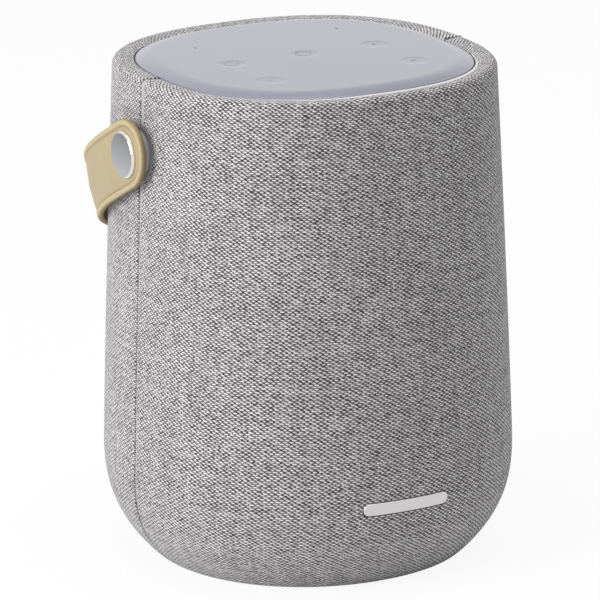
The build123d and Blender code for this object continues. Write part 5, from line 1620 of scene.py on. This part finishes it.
# ------------------------------------------------------------------ carried-over parts
@dataclass
class WorkingParts:
    """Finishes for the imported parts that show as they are, one for each material slot."""

    # Each has its name, colour, roughness and grain, and Moulded then relief, mottle and coat.
    finishes: dict[str, Union[Moulded, WorkedMetal]] = field(default_factory=lambda: {
        # Moulded plastic and rubber: dark and matt, with a fine grain.
        "trim_rubber": Moulded("black_trim_rubber", "#2C2C30", 0.7, 0.3, 0.01),
        "shell_plastic": Moulded("grey_shell_plastic", "#4A4A4E", 0.6, 0.4, 0.02),
        "chassis_plastic": Moulded("black_chassis_plastic", "#2B2B2D", 0.55, 0.4, 0.02),
        "panel_plastic": Moulded("panel_carrier_plastic", "#B9BAC3", 0.45, 0.3, 0.01),
        "foot_rubber": Moulded("grey_foot_rubber", "#3A3A3D", 0.8, 0.5, 0.03),
        "surround_rubber": Moulded("butyl_surround_rubber", "#1D1D1F", 0.55, 0.4, 0.01),
        "button_plastic": Moulded("soft_button_plastic", "#D8D8DA", 0.5, 0.3, 0.01),
        # Foam, paper, cloth, silk and fired ferrite: dull and a little uneven.
        "gasket_foam": Moulded("closed_cell_gasket_foam", "#262626", 0.95, 0.6, 0.08, 0.12),
        "cone_paper": Moulded("pressed_paper_cone", "#3B3936", 0.85, 0.5, 0.05, 0.1),
        "spider_cloth": Moulded("varnished_spider_cloth", "#B58A4A", 0.8, 0.5, 0.06, 0.1),
        "dome_silk": Moulded("coated_silk_dome", "#242426", 0.5, 0.3, 0.02),
        "magnet_ferrite": Moulded("sintered_ferrite", "#3C3C3E", 0.65, 0.3, 0.02, 0.08),
        # Lacquered board and shrunk sleeve: clear colours under a glossy coat.
        "circuit_board": Moulded("green_solder_mask", "#1F5B3C", 0.4, 0.6, 0.01, 0.1, 0.3),
        "battery_wrap": Moulded("shrink_wrap_sleeve", "#3E7FA8", 0.35, 0.8, 0.01, 0.05, 0.4),
        # Cast, ground, blackened and painted steel and sintered brass: a dull metal shine.
        "boss_metal": WorkedMetal("cast_boss_metal", "#B9B8BC", 0.35),
        "pin_steel": WorkedMetal("ground_pin_steel", "#C9C8C6", 0.25, (0.1, 2.0, 2.0)),
        "screw_steel": WorkedMetal("blackened_screw_steel", "#4C4C4E", 0.4),
        "bush_brass": WorkedMetal("sintered_bush_brass", "#C2A35C", 0.4),
        "basket_steel": WorkedMetal("painted_basket_steel", "#58585A", 0.5),
        "weight_steel": WorkedMetal("pressed_weight_steel", "#9FA0A2", 0.4),
        # Plated, enamelled, tinned and extruded metal: brighter, and marked along its length where drawn.
        "contact_brass": WorkedMetal("gold_plated_contact", "#E2BE6E", 0.22),
        "motor_steel": WorkedMetal("zinc_plated_motor_steel", "#B5B7B6", 0.35),
        "coil_copper": WorkedMetal("enamelled_coil_copper", "#C9794A", 0.3, (2.0, 0.25, 2.0)),
        "heatsink_aluminium": WorkedMetal("extruded_heatsink_aluminium", "#BFC1C4", 0.38, (0.3, 5.0, 0.3)),
        "can_metal": WorkedMetal("tinned_can_metal", "#C6C7C8", 0.3, (0.8, 0.8, 0.8)),
        "socket_metal": WorkedMetal("nickel_socket_shell", "#B0B0AE", 0.3),
    })

    def dress(self, frame: dict) -> int:
        """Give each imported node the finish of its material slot.

        Args:
        Returns:
            Number of nodes dressed.
        """
        slots = {part["node"]: part["material_slot"] for part in frame["record"]["subparts"]}
        built: dict[str, bpy.types.Material] = {}
        for name, piece in frame["nodes"].items():
            slot = slots.get(name, "")
            key = slot if slot in self.finishes else "chassis_plastic"
            if key not in built:
                built[key] = self.finishes[key].build()
            piece.data.materials.clear()
            piece.data.materials.append(built[key])
            LOG.info("dressed %s, slot %s, as %s", name, slot, built[key].name)
        return len(frame["nodes"])


# ------------------------------------------------------------------ studio
@dataclass(frozen=True)
class Softbox:
    """One soft lamp: its place, aim and size in metres, and its power in watts."""

    name: str
    place: tuple[float, float, float]
    size: tuple[float, float]
    power: float
    aim: tuple[float, float, float] = (0.0, 0.0, 0.11)

    def build(self) -> bpy.types.Object:
        """Make the lamp, turned to its aim.

        Returns:
            The lamp.
        """
        lamp = bpy.data.lights.new(self.name, "AREA")
        lamp.shape = "RECTANGLE"
        lamp.size, lamp.size_y = self.size
        lamp.energy = self.power
        return place_aimed(self.name, lamp, self.place, self.aim)


def place_aimed(name: str, data: bpy.types.ID, place: Sequence[float], aim: Sequence[float],
                roll: float = 0.0) -> bpy.types.Object:
    """Put a lamp or a camera at a place, looking at its aim.

    Args:
        name: Name of the object.
        data: The lamp or the camera.
        place: Place in metres.
        aim: Point that it looks at, in metres.
        roll: Turn about its own line of sight, in degrees.
    Returns:
        The new object.
    """
    holder = bpy.data.objects.new(name, data)
    turn = (Vector(place) - Vector(aim)).to_track_quat("Z", "Y").to_matrix().to_4x4()
    holder.matrix_world = Matrix.Translation(place) @ turn @ Matrix.Rotation(math.radians(roll), 4, "Z")
    bpy.context.scene.collection.objects.link(holder)
    return holder


@dataclass
class Studio:
    """Pale floor, soft lamps, even surroundings and the camera."""

    ambient: float = 0.285       # light of the surroundings
    floor_colour: str = "#FAFAFA"
    floor_clear: float = 0.92    # share of the floor that shows as plain white
    floor_reach: float = 4000.0
    camera_place: tuple[float, float, float] = (-1.1560, -2.1174, 0.7924)      # in metres
    camera_aim: tuple[float, float, float] = (-0.00284, 0.00054, 0.10692)
    camera_roll: float = -0.573  # in degrees
    camera_far: float = 20.0     # in metres
    lens: float = 356.1
    lamps: tuple[Softbox, ...] = (
        Softbox("key_softbox", (-1.8, -0.2, 0.9), (0.9, 1.2), 27.2),
        Softbox("top_softbox", (0.0, 0.0, 1.8), (1.2, 1.2), 17.2),
    )

    @staticmethod
    def shown(tree: bpy.types.NodeTree) -> bpy.types.Node:
        """Tell rays that show things from rays that light them.

        Args:
            tree: Node tree.
        Returns:
            Node whose first output is 1 for rays from the camera, in mirrors and through clear things.
        """
        ray = add_node(tree, "LightPath").outputs
        either = add_node(tree, "Math", "MAXIMUM", ray["Is Camera Ray"], ray["Is Transmission Ray"])
        return add_node(tree, "Math", "MAXIMUM", either, ray["Is Glossy Ray"])

    def build_world(self) -> None:
        """Make surroundings that look white to the camera and in reflections, and light things softly."""
        world = bpy.data.worlds.new("studio_surroundings")
        bpy.context.scene.world = world
        world.use_nodes = True
        tree = world.node_tree
        tree.nodes.clear()
        strength = add_node(tree, "Math", "MULTIPLY_ADD", self.shown(tree), 1 - self.ambient,
                            self.ambient)
        light = add_node(tree, "Background", {"Color": (1, 1, 1, 1), "Strength": strength})
        add_node(tree, "OutputWorld", {"Surface": light})

    def build_floor(self) -> bpy.types.Object:
        """Make the floor, which shows as white and keeps part of the shadow.

        Returns:
            The floor.
        """
        corners = np.array([[-1, -1, 0], [1, -1, 0], [1, 1, 0], [-1, 1, 0]]) * self.floor_reach
        floor = make_object("studio_floor", corners, np.array([[0, 1, 2, 3]]))
        material, tree, surface = new_material("matt_studio_paint")
        set_up(tree, surface, {"Base Color": to_linear(self.floor_colour), "Roughness": 0.9})
        share = add_node(tree, "Math", "MULTIPLY", self.shown(tree), self.floor_clear)
        white = add_node(tree, "Emission", {"Color": (1, 1, 1, 1), "Strength": 1.0})
        mixed = add_node(tree, "MixShader", None, share, surface, white)
        set_up(tree, tree.nodes["Material Output"], {"Surface": mixed})
        floor.data.materials.append(material)
        return floor

    def build_camera(self) -> bpy.types.Object:
        """Make the camera and set it as the scene's.

        Returns:
            The camera.
        """
        lens = bpy.data.cameras.new("studio_camera")
        lens.lens = self.lens
        lens.clip_end = self.camera_far
        camera = place_aimed("studio_camera", lens, self.camera_place, self.camera_aim, self.camera_roll)
        bpy.context.scene.camera = camera
        return camera

    def build(self) -> None:
        """Make the whole studio."""
        bpy.context.scene.view_settings.view_transform = "Standard"
        self.build_world()
        self.build_floor()
        for lamp in self.lamps:
            lamp.build()
        self.build_camera()


def main() -> None:
    """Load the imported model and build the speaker's looks round it."""
    logging.basicConfig(level=logging.INFO, format="%(name)s: %(message)s")
    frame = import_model()
    cover_high = box_mm("front_fabric_cover")[1]
    panel_low, panel_high = box_mm("top_panel")
    knob_low, knob_high = box_mm("strap_knob_left")
    boss_low, boss_high = box_mm("strap_boss_left")
    strap_high = box_mm("carry_strap")[1]
    bay_low, bay_high = box_mm("port_board")
    spider_low, spider_high = box_mm("woofer_spider")
    pivot_height = float(knob_low[2] + knob_high[2]) / 2
    boss_radius = float(boss_high[2] - boss_low[2]) / 2
    form = BodyForm(height=float(cover_high[2]), widest_half=float(cover_high[0]))
    LOG.info("dressed %d packed nodes", WorkingParts().dress(frame))
    assemblies = (
        ClothCover(form, float(panel_high[0]), float(panel_high[1]), pivot_height,
                   float(bay_low[2] + bay_high[2]) / 2, boss_radius + BOSS_GAP),
        TouchPanel(float(panel_high[0]), float(panel_high[1]), float(panel_high[2]), float(panel_low[2])),
        CarryStrap(pivot_height, float(-knob_high[0]), float(strap_high[1]), boss_radius),
        Badge(form),
        CoilSpider(float(spider_high[0]), float(spider_low[2] + spider_high[2]) / 2, float(spider_high[1])),
    )
    for assembly in assemblies:
        for piece in assembly.build():
            LOG.info("made %s with %d faces", piece.name, len(piece.data.polygons))
    Studio().build()


if __name__ == "__main__":
    main()
